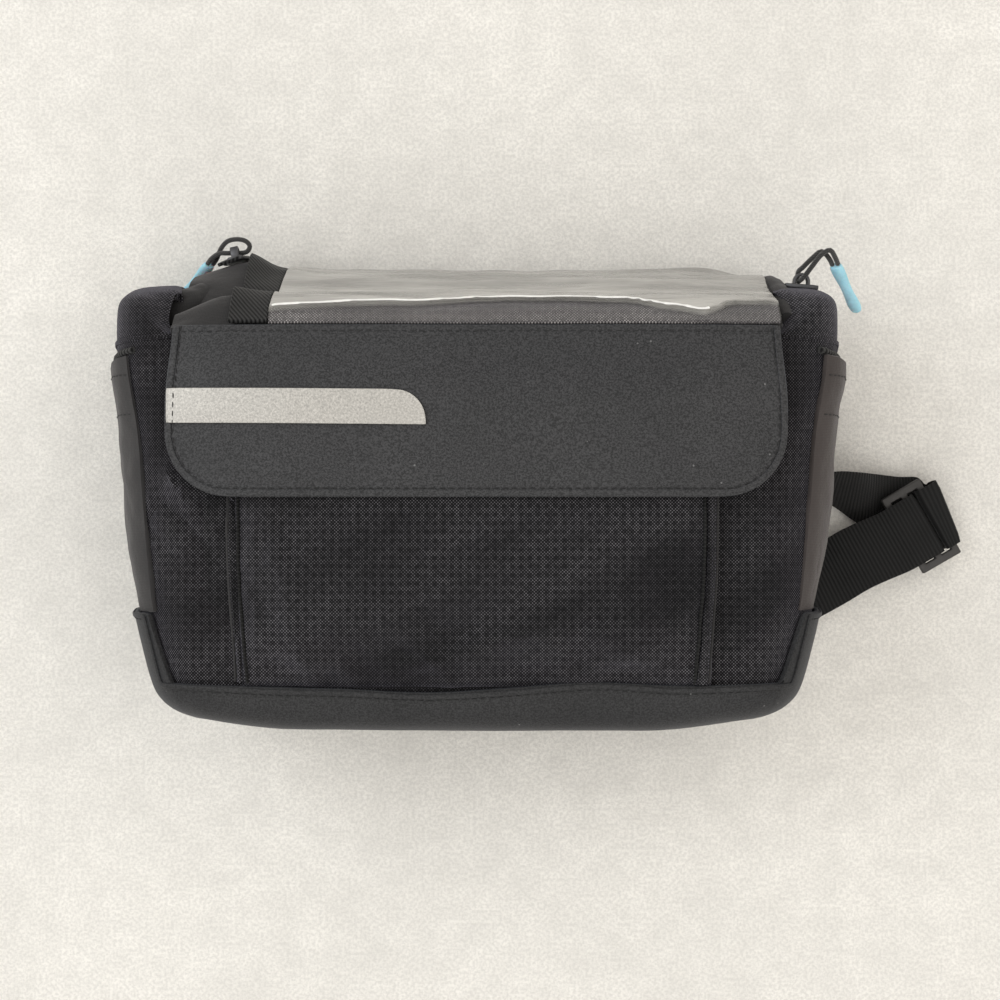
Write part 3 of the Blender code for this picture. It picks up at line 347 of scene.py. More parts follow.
class Recipe:
    """Adds one material's nodes, each next to the last."""

    def __init__(self, name, roughness, **sockets):
        self.material = bpy.data.materials.new(name)
        self.material.use_nodes = True
        self.tree = self.material.node_tree
        self.shader = self.tree.nodes["Principled BSDF"]
        self.shader.inputs["Roughness"].default_value = roughness
        for socket, value in sockets.items():
            self.feed(self.shader.inputs[socket.replace("_", " ")], value)

    def feed(self, socket, value):
        if isinstance(value, bpy.types.NodeSocket):
            self.tree.links.new(value, socket)
        else:
            socket.default_value = value

    def sheen(self, weight, roughness, tint):
        values = {"Sheen Weight": weight, "Sheen Roughness": roughness, "Sheen Tint": tint}
        for socket, value in values.items():
            self.feed(self.shader.inputs[socket], value)

    def add(self, kind, inputs, output=0, **settings):
        node = self.tree.nodes.new("ShaderNode" + kind)
        for setting, value in settings.items():
            setattr(node, setting, value)
        for socket, value in inputs.items():
            self.feed(node.inputs[socket], value)
        return node.outputs[output]

    def math(self, operation, first, second=0.0, third=0.0):
        return self.add("Math", {0: first, 1: second, 2: third}, operation=operation)

    def place(self, source="Object"):
        return self.add("TexCoord", {}, output=source)

    def axes(self, source="Object"):
        node = self.tree.nodes.new("ShaderNodeSeparateXYZ")
        self.tree.links.new(self.place(source), node.inputs[0])
        return node.outputs

    def noise(self, scale, detail=3.0, source="Object", roughness=0.5):
        inputs = {"Vector": self.place(source), "Scale": scale, "Detail": detail, "Roughness": roughness}
        return self.add("TexNoise", inputs)

    def remap(self, value, low, high, to_low=0.0, to_high=1.0):
        inputs = {"Value": value, "From Min": low, "From Max": high, "To Min": to_low, "To Max": to_high}
        return self.add("MapRange", inputs)

    def mix(self, share, first, second):
        inputs = {0: share, 6: first, 7: second}
        return self.add("Mix", inputs, output=2, data_type="RGBA")

    def wave(self, value, pitch, phase=0.0):
        """A sine from 0 to 1 along a coordinate in metres."""
        turned = self.math("MULTIPLY_ADD", value, 2 * math.pi / pitch, phase)
        return self.math("MULTIPLY_ADD", self.math("SINE", turned), 0.5, 0.5)

    def paint(self, shares, base, low, high):
        """The base colour, darker or lighter with the product of the shares."""
        total = shares[0]
        for share in shares[1:]:
            total = self.math("MULTIPLY", total, share)
        dark = (*[channel * low for channel in base], 1.0)
        light = (*[min(channel * high, 1.0) for channel in base], 1.0)
        self.feed(self.shader.inputs["Base Color"], self.mix(total, dark, light))

    def bump(self, height, distance, strength=1.0, under=None):
        inputs = {"Height": height, "Distance": distance, "Strength": strength}
        if under is not None:
            inputs["Normal"] = under
        normal = self.add("Bump", inputs)
        self.feed(self.shader.inputs["Normal"], normal)
        return normal


def woven_cloth(name, base, pitch, low=0.15, high=8.8):
    """Lattice of pale yarns over dark holes with a small dark check, laid out on the piece's own map, with
    slanted patches of painted sheen.
    """
    recipe = Recipe(name, 0.85, Specular_IOR_Level=0.12)
    recipe.sheen(0.30, 0.45, (0.62, 0.60, 0.72, 1.0))
    along, up = recipe.axes("UV")[:2]
    rising = recipe.wave(recipe.math("ADD", along, up), pitch)
    falling = recipe.wave(recipe.math("SUBTRACT", along, up), pitch, 1.3)
    weave = recipe.math("MULTIPLY", rising, falling)
    check = recipe.math("MULTIPLY", recipe.wave(along, pitch * 2.6), recipe.wave(up, pitch * 2.6))
    slub = recipe.remap(recipe.noise(420.0, 3.0, "UV"), 0.35, 0.65, 0.45, 1.0)
    # Slanted soft patches that lighten the pale yarns: painted sheen, standing in for light glancing off the
    # yarns
    leaning = recipe.add("VectorRotate", {0: recipe.place(), "Angle": -0.5}, rotation_type="Z_AXIS")
    leaning = recipe.add("VectorMath", {0: leaning, 1: (0.45, 1.0, 1.0)}, operation="MULTIPLY")
    patches = recipe.add("TexNoise", {"Vector": leaning, "Scale": 34.0, "Detail": 2.0, "Roughness": 0.5})
    patch = recipe.remap(patches, 0.38, 0.64, 0.42, 1.25)
    squares = recipe.remap(check, 0.30, 0.62, 1.0, 0.34)
    recipe.paint([recipe.math("POWER", weave, 1.4), slub, patch, squares], base, low, high)
    recipe.bump(weave, 0.00025, 0.9)
    return recipe.material


def rubberised_cloth(name, base, sheen=0.14):
    """Matte coated cloth with a fine grain, soft cloudy wear and a few pale specks."""
    recipe = Recipe(name, 0.62, Specular_IOR_Level=0.30)
    recipe.sheen(sheen, 0.5, (0.78, 0.84, 1.0, 1.0))
    grain = recipe.noise(1500.0, 3.0, roughness=0.8)
    clouds = recipe.remap(recipe.noise(22.0, 4.0), 0.25, 0.75, 0.78, 1.0)
    rubbed = recipe.remap(recipe.noise(75.0, 4.0, roughness=0.7), 0.55, 0.80, 0.86, 1.0)
    fine = recipe.remap(grain, 0.42, 0.58, 0.15, 1.0)
    recipe.paint([clouds, rubbed, fine], base, 0.25, 2.35)
    specks = recipe.add("TexVoronoi", {"Vector": recipe.place(), "Scale": 110.0}, feature="F1")
    speck = recipe.remap(specks, 0.045, 0.030, 0.0, 0.55)
    cloth = recipe.shader.inputs["Base Color"].links[0].from_socket
    recipe.feed(recipe.shader.inputs["Base Color"], recipe.mix(speck, cloth, (0.22, 0.22, 0.22, 1.0)))
    recipe.feed(recipe.shader.inputs["Roughness"], recipe.remap(clouds, 0.78, 1.0, 0.66, 0.54))
    recipe.bump(grain, 0.00010, 0.7)
    return recipe.material


def smooth_cloth(name, base):
    """Thin plain-weave cloth with small creases."""
    recipe = Recipe(name, 0.74, Specular_IOR_Level=0.25)
    recipe.sheen(0.22, 0.4, (0.80, 0.78, 0.80, 1.0))
    along, up = recipe.axes("UV")[:2]
    yarns = recipe.math("MULTIPLY", recipe.wave(along, 0.00055), recipe.wave(up, 0.00055))
    clouds = recipe.remap(recipe.noise(30.0, 4.0), 0.3, 0.7, 0.75, 1.0)
    recipe.paint([recipe.remap(yarns, 0.0, 1.0, 0.72, 1.0), clouds], base, 0.45, 1.35)
    creases = recipe.bump(recipe.noise(150.0, 5.0, roughness=0.6), 0.0007, 0.55)
    recipe.bump(yarns, 0.00008, 0.7, creases)
    return recipe.material


def ribbed_webbing(name, base, pitch, hollow=0.25, high=2.2):
    """Webbing with ribs across it and finer yarns along it, on the piece's own map."""
    recipe = Recipe(name, 0.66, Sheen_Weight=0.08, Sheen_Roughness=0.4, Specular_IOR_Level=0.18)
    along, across = recipe.axes("UV")[:2]
    ribs = recipe.wave(along, pitch)
    yarns = recipe.wave(recipe.math("MULTIPLY_ADD", ribs, pitch * 0.4, across), pitch * 0.55)
    worn = recipe.remap(recipe.noise(60.0, 4.0), 0.3, 0.7, 0.7, 1.0)
    threads = recipe.remap(yarns, 0.0, 1.0, 0.75, 1.0)
    recipe.paint([recipe.remap(ribs, 0.0, 1.0, hollow, 1.0), worn, threads], base, 1.4 * hollow, high)
    height = recipe.math("MULTIPLY_ADD", yarns, 0.25, ribs)
    recipe.bump(height, 0.00022)
    return recipe.material


def clear_film(name, base):
    """Thin vinyl: nearly clear over the window's front strip, hazy further back, with creases. The pale grey
    and the milky back are the film's haze together with a painted reflection of the bright room, dimming
    towards the back.
    """
    recipe = Recipe(name, 0.22, IOR=1.5, Coat_Weight=0.4, Coat_Roughness=0.08)
    height, before_fold = recipe.axes()[2], recipe.axes("UV")[1]
    drawn_out = recipe.add("VectorMath", {0: recipe.place(), 1: (0.22, 1.0, 1.0)}, operation="MULTIPLY")
    streaks = recipe.add("TexNoise", {"Vector": drawn_out, "Scale": 70.0, "Detail": 4.0, "Roughness": 0.6})
    # More opaque behind the fold: real haze together with painted glare of the room on the film
    haze_and_glare = recipe.remap(before_fold, 0.0012, -0.0006, 0.05, 0.80)
    thin = recipe.remap(streaks, 0.35, 0.65, 0.80, 1.08)
    recipe.feed(recipe.shader.inputs["Alpha"], recipe.math("MULTIPLY", haze_and_glare, thin))
    # Darker towards the back: the painted reflection dims there
    glare_falloff = recipe.remap(height, 0.022, 0.070, 0.42, 1.0)
    recipe.paint([recipe.remap(streaks, 0.35, 0.65, 0.38, 1.0), glare_falloff], base, 0.62, 1.25)
    recipe.bump(streaks, 0.0022, 0.8)
    return recipe.material


def reflective_silver(name, base):
    """Silver cloth covered in tiny glass beads."""
    recipe = Recipe(name, 0.48, Metallic=0.25, Specular_IOR_Level=0.6)
    beads = recipe.noise(1500.0, 3.0, roughness=0.8)
    clouds = recipe.remap(recipe.noise(40.0, 3.0), 0.3, 0.7, 0.90, 1.0)
    recipe.paint([recipe.remap(beads, 0.30, 0.70), clouds], base, 0.62, 1.42)
    recipe.bump(beads, 0.00008, 0.6)
    return recipe.material


def moulded(name, base, roughness, grain_scale, **sockets):
    """Moulded plastic or cast metal with a fine grain and rubbed patches."""
    recipe = Recipe(name, roughness, **sockets)
    grain = recipe.noise(grain_scale, 3.0)
    rubbed = recipe.remap(recipe.noise(320.0, 4.0), 0.3, 0.7, 0.7, 1.0)
    recipe.paint([recipe.remap(grain, 0.3, 0.7, 0.8, 1.0), rubbed], base, 0.6, 1.2)
    recipe.feed(recipe.shader.inputs["Roughness"], recipe.remap(rubbed, 0.7, 1.0, roughness + 0.1, roughness))
    recipe.bump(grain, 0.00010, 0.5)
    return recipe.material


def braided(name, base):
    """Plaited cord with slanted strands."""
    recipe = Recipe(name, 0.65, Sheen_Weight=0.3)
    across, up, deep = recipe.axes()
    slanted = recipe.wave(recipe.math("ADD", across, recipe.math("ADD", up, deep)), 0.0009)
    crossed = recipe.wave(recipe.math("SUBTRACT", across, recipe.math("ADD", up, deep)), 0.0009)
    plaits = recipe.math("MULTIPLY", slanted, crossed)
    recipe.paint([plaits], base, 0.5, 3.0)
    recipe.bump(plaits, 0.00025, 0.9)
    return recipe.material


def sheet_floor(name, base):
    """Pale non-woven sheet with fine fibres, and broad soft darker patches of painted shade for the sheet's
    folds.
    """
    recipe = Recipe(name, 0.95)
    fibres = recipe.noise(800.0, 6.0, roughness=0.75)
    clouds = recipe.noise(85.0, 6.0, roughness=0.6)
    # Broad soft darker patches on the flat floor: painted shade of the sheet's folds
    folds = recipe.noise(9.0, 3.0)
    shares = [recipe.remap(fibres, 0.42, 0.58, 0.45, 1.0), recipe.remap(clouds, 0.32, 0.68, 0.68, 1.0)]
    recipe.paint([*shares, recipe.remap(folds, 0.35, 0.65, 0.75, 1.0)], base, 0.76, 1.24)
    recipe.bump(recipe.math("MULTIPLY_ADD", fibres, 0.6, clouds), 0.0008, 0.5)
    return recipe.material


MADE = {}


def material(kind):
    """The finish of that name, made once."""
    if kind not in MADE:
        tint, size = colours(), sizes()
        makers = {
            "woven": lambda: woven_cloth("woven_fabric", tint.woven, size.weave_pitch),
            "backing": lambda: woven_cloth("backing_fabric", tint.backing, size.weave_pitch, 0.35, 4.0),
            "rubberised": lambda: rubberised_cloth("rubberised_fabric", tint.rubberised),
            # Rubberised cloth painted darker: painted shade on the base tray
            "tray": lambda: rubberised_cloth("tray_shaded_fabric", tint.tray, 0.06),
            "smooth": lambda: smooth_cloth("smooth_fabric", tint.smooth),
            # Smooth cloth painted lighter and warmer: painted light on the right side pocket
            "lit_smooth": lambda: smooth_cloth("lit_smooth_fabric", tint.lit_smooth),
            "lid": lambda: smooth_cloth("lid_fabric", tint.lid),
            "webbing": lambda: ribbed_webbing("black_webbing", tint.webbing, size.rib_pitch),
            "tape": lambda: ribbed_webbing("ribbed_tape", tint.webbing, size.rib_pitch, 0.0, 5.8),
            "thread": lambda: moulded("sewing_thread", tint.thread, 0.7, 3000.0),
            "film": lambda: clear_film("clear_film", tint.film),
            # A pale finish for the film's fold: painted highlight
            "film_fold_highlight": lambda: moulded("film_fold_highlight", [channel * 1.9 for channel in tint.film], 0.3, 400.0),
            "silver": lambda: reflective_silver("reflective_silver", tint.silver),
            "metal": lambda: moulded("slider_metal", tint.metal, 0.42, 1800.0, Metallic=0.85),
            "cord": lambda: braided("black_cord", tint.cord),
            "grip": lambda: moulded("light_blue_grip", tint.grip, 0.42, 900.0, Subsurface_Weight=0.15),
            "plastic": lambda: moulded("black_plastic", tint.plastic, 0.45, 1500.0),
            "floor": lambda: sheet_floor("pale_floor", tint.floor),
        }
        MADE[kind] = makers[kind]()
    return MADE[kind]


# Making and shaping pieces


def select_only(piece):
    bpy.ops.object.select_all(action="DESELECT")
    piece.select_set(True)
    bpy.context.view_layer.objects.active = piece


def apply_modifiers(piece):
    select_only(piece)
    for modifier in list(piece.modifiers):
        bpy.ops.object.modifier_apply(modifier=modifier.name)


def bevelled(piece, width, segments, angle):
    """Rounds the edges of a piece that turn by more than an angle in degrees."""
    bevel = piece.modifiers.new("rounded edges", "BEVEL")
    bevel.width = width
    bevel.segments = segments
    bevel.angle_limit = math.radians(angle)
    apply_modifiers(piece)


def free_copy(node, name):
    """A copy of a node's mesh, with its doubles merged and its triangles paired into quads."""
    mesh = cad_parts[node].data.copy()
    mesh.name = name
    mesh.materials.clear()
    piece = bpy.data.objects.new(name, mesh)
    bpy.context.collection.objects.link(piece)
    select_only(piece)
    bpy.ops.mesh.customdata_custom_splitnormals_clear()
    bpy.ops.object.mode_set(mode="EDIT")
    bpy.ops.mesh.select_all(action="SELECT")
    bpy.ops.mesh.remove_doubles(threshold=0.00002)
    bpy.ops.mesh.tris_convert_to_quads(face_threshold=math.radians(50), shape_threshold=math.radians(70))
    bpy.ops.object.mode_set(mode="OBJECT")
    return piece


def refine(piece, levels, rim_angle=55.0, rim_crease=0.8):
    """Subdivides a piece, with its sharp rims held by creases."""
    mesh = bmesh.new()
    mesh.from_mesh(piece.data)
    crease = mesh.edges.layers.float.get("crease_edge") or mesh.edges.layers.float.new("crease_edge")
    for edge in mesh.edges:
        if len(edge.link_faces) != 2 or edge.calc_face_angle(0.0) > math.radians(rim_angle):
            edge[crease] = rim_crease
    mesh.to_mesh(piece.data)
    mesh.free()
    subdivision = piece.modifiers.new("finer", "SUBSURF")
    subdivision.levels = subdivision.render_levels = levels
    apply_modifiers(piece)


def move_points(piece, shift):
    """Moves each vertex by shift(place, normal)."""
    normals = [vertex.normal.copy() for vertex in piece.data.vertices]
    for vertex, normal in zip(piece.data.vertices, normals):
        vertex.co += shift(vertex.co, normal)
    piece.data.update()


def ripple(place, scale, seed=0.0):
    """Smooth noise from -1 to 1 at about 1/scale metres."""
    return noise.fractal(place * scale + Vector((seed, seed * 1.7, -seed)), 0.6, 2.0, 3)


def girth(place):
    """Distance round the tub's outline from its front middle, positive to the right."""
    x, z = abs(place.x), place.z
    if x <= FLAT:
        run = x if z > 0.045 else 2 * FLAT + 2 * ARC + SIDE_RUN - x
    elif z > FRONT_Z - CORNER:
        run = FLAT + CORNER * math.atan2(x - FLAT, z - (FRONT_Z - CORNER))
    elif z < BACK_Z + CORNER:
        run = FLAT + ARC + SIDE_RUN + CORNER * math.atan2(BACK_Z + CORNER - z, x - FLAT)
    else:
        run = FLAT + ARC + FRONT_Z - CORNER - z
    return math.copysign(run, place.x)


def lay_map(piece, on_cloth):
    """Gives a piece its cloth map, in metres, from on_cloth(place, face)."""
    layers = piece.data.uv_layers
    layer = layers[0] if layers else layers.new(name="Cloth")
    for face in piece.data.polygons:
        for index in face.loop_indices:
            place = piece.data.vertices[piece.data.loops[index].vertex_index].co
            layer.data[index].uv = on_cloth(place, face)


def on_box(place, face):
    """The two coordinates along the side of a box that a face is on, the front reaching round its edges."""
    across, up, out = [abs(axis) for axis in face.normal]
    if out > FRONT_LEAN:
        return place.x, place.y
    return (place.z, place.y) if across > up else (place.x, place.z)


def wrap_map(piece):
    """A cloth map that runs round the tub and up it, with the shoulders and the base laid flat."""

    def on_tub(place, face):
        boxed = face.center.y > SHOULDER_Y or face.normal.y < -BASE_LEAN
        return on_box(place, face) if boxed else (girth(place), place.y)

    lay_map(piece, on_tub)


def flat_map(piece, first, second):
    """A cloth map along two axes."""
    lay_map(piece, lambda place, face: (place[first], place[second]))


def lid_map(piece, slant=0.0):
    """A cloth map across the lid and back along its slope, turned by the slant."""

    def on_lid(place, face):
        slope = 0.5 * (place.y - place.z)
        return place.x + slant * slope, slope - slant * place.x

    lay_map(piece, on_lid)


def finish_piece(piece, kind, slot, *nodes, angle=40.0):
    piece.data.materials.clear()
    piece.data.materials.append(material(kind))
    if piece.type == "MESH":
        select_only(piece)
        bpy.ops.object.shade_smooth_by_angle(angle=math.radians(angle))
    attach(piece, "root")
    if nodes:
        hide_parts(*nodes)
    return piece


def mesh_piece(name, vertices, faces, uvs=None):
    """A piece from points and faces, with one map place for each point."""
    mesh = bpy.data.meshes.new(name)
    mesh.from_pydata([tuple(vertex) for vertex in vertices], [], faces)
    if uvs:
        layer = mesh.uv_layers.new(name="Cloth")
        for loop in mesh.loops:
            layer.data[loop.index].uv = uvs[loop.vertex_index]
    piece = bpy.data.objects.new(name, mesh)
    bpy.context.collection.objects.link(piece)
    select_only(piece)
    bpy.ops.object.mode_set(mode="EDIT")
    bpy.ops.mesh.select_all(action="SELECT")
    bpy.ops.mesh.normals_make_consistent(inside=False)
    bpy.ops.object.mode_set(mode="OBJECT")
    return piece


def smooth_line(points, steps):
    """Points on a Catmull-Rom curve through the given ones."""
    points = [Vector(point) for point in points]
    ends = [points[0] * 2 - points[1]] + points + [points[-1] * 2 - points[-2]]
    line = []
    for before, start, end, after in zip(ends, ends[1:], ends[2:], ends[3:]):
        for step in range(steps):
            share = step / steps
            square, cube = share * share, share**3
            bend = (2 * before - 5 * start + 4 * end - after) * square
            bend += (3 * start - before - 3 * end + after) * cube
            line.append((2 * start + (end - before) * share + bend) / 2)
    line.append(points[-1])
    return line


def ribbon(name, stations, thickness, steps=4, columns=9, roll=0.6):
    """A woven band through (middle, width vector) stations, with rounded edges and a map along it."""
    middles = smooth_line([middle for middle, wide in stations], steps)
    wides = smooth_line([wide for middle, wide in stations], steps)
    last = len(middles) - 1
    shares = [index / (columns - 1) * 2 - 1 for index in range(columns)]
    vertices, uvs, faces = [], [], []
    run = 0.0
    around = 2 * columns
    for index, (middle, wide) in enumerate(zip(middles, wides)):
        if index:
            run += (middle - middles[index - 1]).length
        along = middles[min(index + 1, last)] - middles[max(index - 1, 0)]
        normal = along.cross(wide).normalized()
        for side in (1, -1):
            for share in shares[:: side]:
                lift = thickness / 2 * (1 - roll * abs(share) ** 8)
                vertices.append(middle + wide * (share / 2) + normal * lift * side)
                uvs.append((run, share / 2 * wide.length))
    for row in range(last):
        for column in range(around):
            beside = (column + 1) % around
            low, high = row * around, (row + 1) * around
            faces.append((low + column, low + beside, high + beside, high + column))
    faces.append(tuple(range(around)))
    faces.append(tuple(last * around + column for column in range(around)))
    return mesh_piece(name, vertices, faces, uvs)


def band_on(name, line, width, thickness, **shape):
    """A ribbon that lies on a surface along (place, normal) pairs."""
    stations = []
    last = len(line) - 1
    for index, (place, normal) in enumerate(line):
        along = line[min(index + 1, last)][0] - line[max(index - 1, 0)][0]
        across = normal.cross(along).normalized() * width
        stations.append((place + normal * thickness / 2, across))
    return ribbon(name, stations, thickness, **shape)


def roll(name, stations, seed):
    """A closed roll of creased cloth through (middle, radius) stations."""
    middles = smooth_line([middle for middle, radius in stations], 6)
    radii = [point.x for point in smooth_line([(radius, 0.0, 0.0) for middle, radius in stations], 6)]
    last, around = len(middles) - 1, 24
    vertices, faces = [], []
    for index, (middle, radius) in enumerate(zip(middles, radii)):
        along = (middles[min(index + 1, last)] - middles[max(index - 1, 0)]).normalized()
        side = along.cross(Vector((0, 0, 1))).normalized()
        up = side.cross(along)
        for turn in range(around):
            angle = turn / around * 2 * math.pi
            out = side * math.cos(angle) + up * math.sin(angle)
            vertices.append(middle + out * radius * (1 + 0.16 * ripple(middle + out * radius, 90.0, seed)))
    for row in range(last):
        for turn in range(around):
            beside = (turn + 1) % around
            low, high = row * around, (row + 1) * around
            faces.append((low + turn, low + beside, high + beside, high + turn))
    faces.append(tuple(range(around)))
    faces.append(tuple(last * around + turn for turn in range(around)))
    piece = mesh_piece(name, vertices, faces)
    flat_map(piece, 0, 1)
    return piece


def surface_of(*pieces):
    """One search tree over the pieces as they stand."""
    vertices, faces = [], []
    for piece in pieces:
        start = len(vertices)
        vertices += [vertex.co.copy() for vertex in piece.data.vertices]
        faces += [[start + index for index in face.vertices] for face in piece.data.polygons]
    return BVHTree.FromPolygons(vertices, faces)


def dropped(tree, places, lift=0.0):
    """(place, normal) pairs where lines straight down from (x, y) places meet the surface."""
    line = []
    for x, y in places:
        hit, normal, face, distance = tree.ray_cast(Vector((x, y, RAY_HEIGHT)), Vector((0, 0, -1)))
        if hit is not None:
            line.append((hit + normal * lift, normal if normal.z > 0 else -normal))
    return line


def wrapped(tree, places, lift=0.0):
    """(place, normal) pairs where lines in from outside meet the surface, from (girth, y) places."""
    line = []
    for run, y in places:
        side, run = math.copysign(1.0, run), abs(run)
        if run <= FLAT:
            x, z, out = run, FRONT_Z, (0.0, 1.0)
        elif run <= FLAT + ARC:
            angle = (run - FLAT) / CORNER
            out = (math.sin(angle), math.cos(angle))
            x, z = FLAT + CORNER * out[0], FRONT_Z - CORNER + CORNER * out[1]
        elif run <= FLAT + ARC + SIDE_RUN:
            x, z, out = HALF_WIDTH, FRONT_Z - CORNER - (run - FLAT - ARC), (1.0, 0.0)
        elif run > FLAT + 2 * ARC + SIDE_RUN:
            x, z, out = 2 * FLAT + 2 * ARC + SIDE_RUN - run, BACK_Z, (0.0, -1.0)
        else:
            angle = (run - FLAT - ARC - SIDE_RUN) / CORNER
            out = (math.cos(angle), -math.sin(angle))
            x, z = FLAT + CORNER * out[0], BACK_Z + CORNER + CORNER * out[1]
        outward = Vector((side * out[0], 0.0, out[1]))
        start = Vector((side * x, y, z)) + outward * RAY_CLEARANCE
        hit, normal, face, distance = tree.ray_cast(start, -outward)
        if hit is not None:
            normal = normal if normal.dot(outward) > 0 else -normal
            line.append((hit + normal * lift, normal))
    return line


def evenly(line, pitch):
    """(place, normal, direction) triples at an even pitch along a line of (place, normal) pairs."""
    marks, left = [], pitch / 2
    for (start, normal), (end, after) in zip(line, line[1:]):
        span = (end - start).length
        at = left
        while at < span:
            share = at / span
            marks.append((start.lerp(end, share), normal.lerp(after, share), (end - start).normalized()))
            at += pitch
        left = at - span
    return marks


def stitch_shape():
    """One stitch: a short bevelled bar, modelled once. Returns its points and faces."""
    bpy.ops.object.select_all(action="DESELECT")
    bpy.ops.mesh.primitive_cube_add(size=1.0)
    bar = bpy.context.active_object
    bevel = bar.modifiers.new("round", "BEVEL")
    bevel.width = 0.28
    bevel.segments = 1
    apply_modifiers(bar)
    points = [vertex.co.copy() for vertex in bar.data.vertices]
    faces = [tuple(face.vertices) for face in bar.data.polygons]
    bpy.data.objects.remove(bar)
    return points, faces


def stitches(name, lines):
    """Rows of stitches, each along a line of (place, normal) pairs."""
    points, quads = stitch_shape()
    size = sizes()
    vertices, faces = [], []
    for line in lines:
        for index, (place, normal, along) in enumerate(evenly(line, size.stitch_pitch)):
            across = normal.cross(along).normalized()
            up = along.cross(across).normalized()
            if up.dot(normal) < 0:
                up = -up
            lengthwise = (along + across * 0.10 * math.sin(index * 12.9898)) * size.stitch_length
            start = len(vertices)
            for point in points:
                aside = across * point.y * size.thread + up * point.z * size.thread
                vertices.append(place + lengthwise * point.x + aside)
            faces += [tuple(start + corner for corner in face) for face in quads]
    piece = mesh_piece(name, vertices, faces)
    return finish_piece(piece, "thread", "black_webbing")


def buckle(piece, pinned, growth, cap, seed, pressure):
    """Lets slightly oversized cloth buckle inside its pinned edge, and keeps each point within cap."""
    before = [vertex.co.copy() for vertex in piece.data.vertices]
    for vertex in piece.data.vertices:
        vertex.co += vertex.normal * 0.0004 * ripple(vertex.co, 38.0, seed)
    group = piece.vertex_groups.new(name="pinned")
    group.add(pinned, 1.0, "REPLACE")
    cloth = piece.modifiers.new("buckle", "CLOTH")
    settings = cloth.settings
    settings.quality = 6
    settings.mass = 0.15
    settings.tension_stiffness = settings.compression_stiffness = 12.0
    settings.shear_stiffness = 4.0
    settings.bending_stiffness = 0.35
    settings.vertex_group_mass = "pinned"
    settings.effector_weights.gravity = 0.0
    settings.shrink_min = -growth
    settings.use_pressure = True
    settings.uniform_pressure_force = pressure
    scene = bpy.context.scene
    cloth.point_cache.frame_start, cloth.point_cache.frame_end = 1, 24
    for step in range(1, 25):
        scene.frame_set(step)
    apply_modifiers(piece)
    scene.frame_set(1)
    for vertex, start in zip(piece.data.vertices, before):
        shift = vertex.co - start
        if shift.length > cap:
            vertex.co = start + shift * (cap / shift.length)
    piece.vertex_groups.clear()
    piece.data.update()


# The pieces


def inward(depth, scale, seed):
    """A shift that only moves cloth inwards, so that what is sewn over it stays clear."""
    return lambda place, normal: normal * (depth * 0.5 * (ripple(place, scale, seed) - 1.0))


def outward(depth, scale, seed):
    return lambda place, normal: normal * (depth * 0.5 * (ripple(place, scale, seed) + 1.0))


def settled(place):
    """How the filled bag sits: its base narrows, the base's middle sags and the shoulders stand up."""
    aside = abs(place.x)
    narrow = -0.032 * place.x * ease(-0.035, -0.076, place.y)
    sag = ease(-0.060, -0.079, place.y) * blend(-0.0016, 0.0030, ease(0.060, 0.115, aside))
    stand = 0.0040 * ease(0.099, 0.108, aside) * ease(0.052, 0.072, place.y) * ease(0.015, 0.035, place.z)
    broad = math.copysign(0.0026 * ease(0.100, 0.118, aside) * ease(0.010, 0.056, place.y), place.x)
    return Vector((narrow + broad, sag + stand, 0.0))


def knot(value, middle, width):
    """A smooth bump of height 1 at the middle."""
    return math.exp(-(((value - middle) / width) ** 2))


def near_line(place, start, end, width):
    """A bump of height 1 along a line seen from the front, fading at its ends."""
    start, end = Vector(start), Vector(end)
    along = end - start
    point = Vector((place.x, place.y)) - start
    share = point.dot(along) / along.length_squared
    aside = (point - along * share).length
    bump = math.exp(-((aside / width) ** 2)) * ease(-0.2, 0.1, share) * ease(1.3, 0.9, share)
    return bump * ease(0.07, 0.08, place.z)


def fold_lift(place, folds):
    """How far the folds lift the cloth at a place."""
    return sum(height * near_line(place, start, end, width) for start, end, width, height in folds)


def lid_form(place):
    """The folds and soft waves of the lid and all that is sewn on it, with the window sagging at the back."""
    x, z = place.x, place.z
    share = ease(0.092, 0.082, z) * ease(0.004, 0.016, z)
    wave = 0.0009 * ripple(Vector((x * 0.8, 0.0, z * 1.6)), 26.0, 5.0)
    window = ease(-0.086, -0.070, x) * ease(0.104, 0.094, x)
    sag = -0.0030 * window * ease(0.055, 0.030, z)
    puffed = 1.0 - ease(-0.086, -0.074, x)
    folds = 0.0016 * knot(z, 0.081, 0.007) - 0.0030 * knot(z, 0.0665, 0.005) + 0.0024 * ease(0.060, 0.045, z)
    folds -= 0.0040 * (1.0 - ease(-0.105, -0.088, x)) * ease(0.058, 0.068, z) * ease(0.092, 0.084, z)
    broad = math.copysign(0.0013 * ease(0.090, 0.103, abs(x)), x)
    fanned = 0.0016 * ease(0.080, 0.102, x) * ease(0.075, 0.025, z)
    return Vector((broad + fanned, share * (wave + folds * puffed) + sag, 0.0))


def fold_height(x):
    """Height of the film's bright fold at a place across the window."""
    for (start, low), (end, high) in zip(FILM_FOLD, FILM_FOLD[1:]):
        if start <= x <= end:
            return blend(low, high, ease(start, end, x))
    return FILM_FOLD[-1][1]


def tray_rim(run):
    """Height of the base tray's rim at a girth: a low band in front, higher boots at the sides."""
    run = abs(run)
    climb = ease(0.1126, 0.1165, run) - ease(0.1897, 0.2089, run)
    return blend(RIM_FRONT, RIM_BOOT, climb)


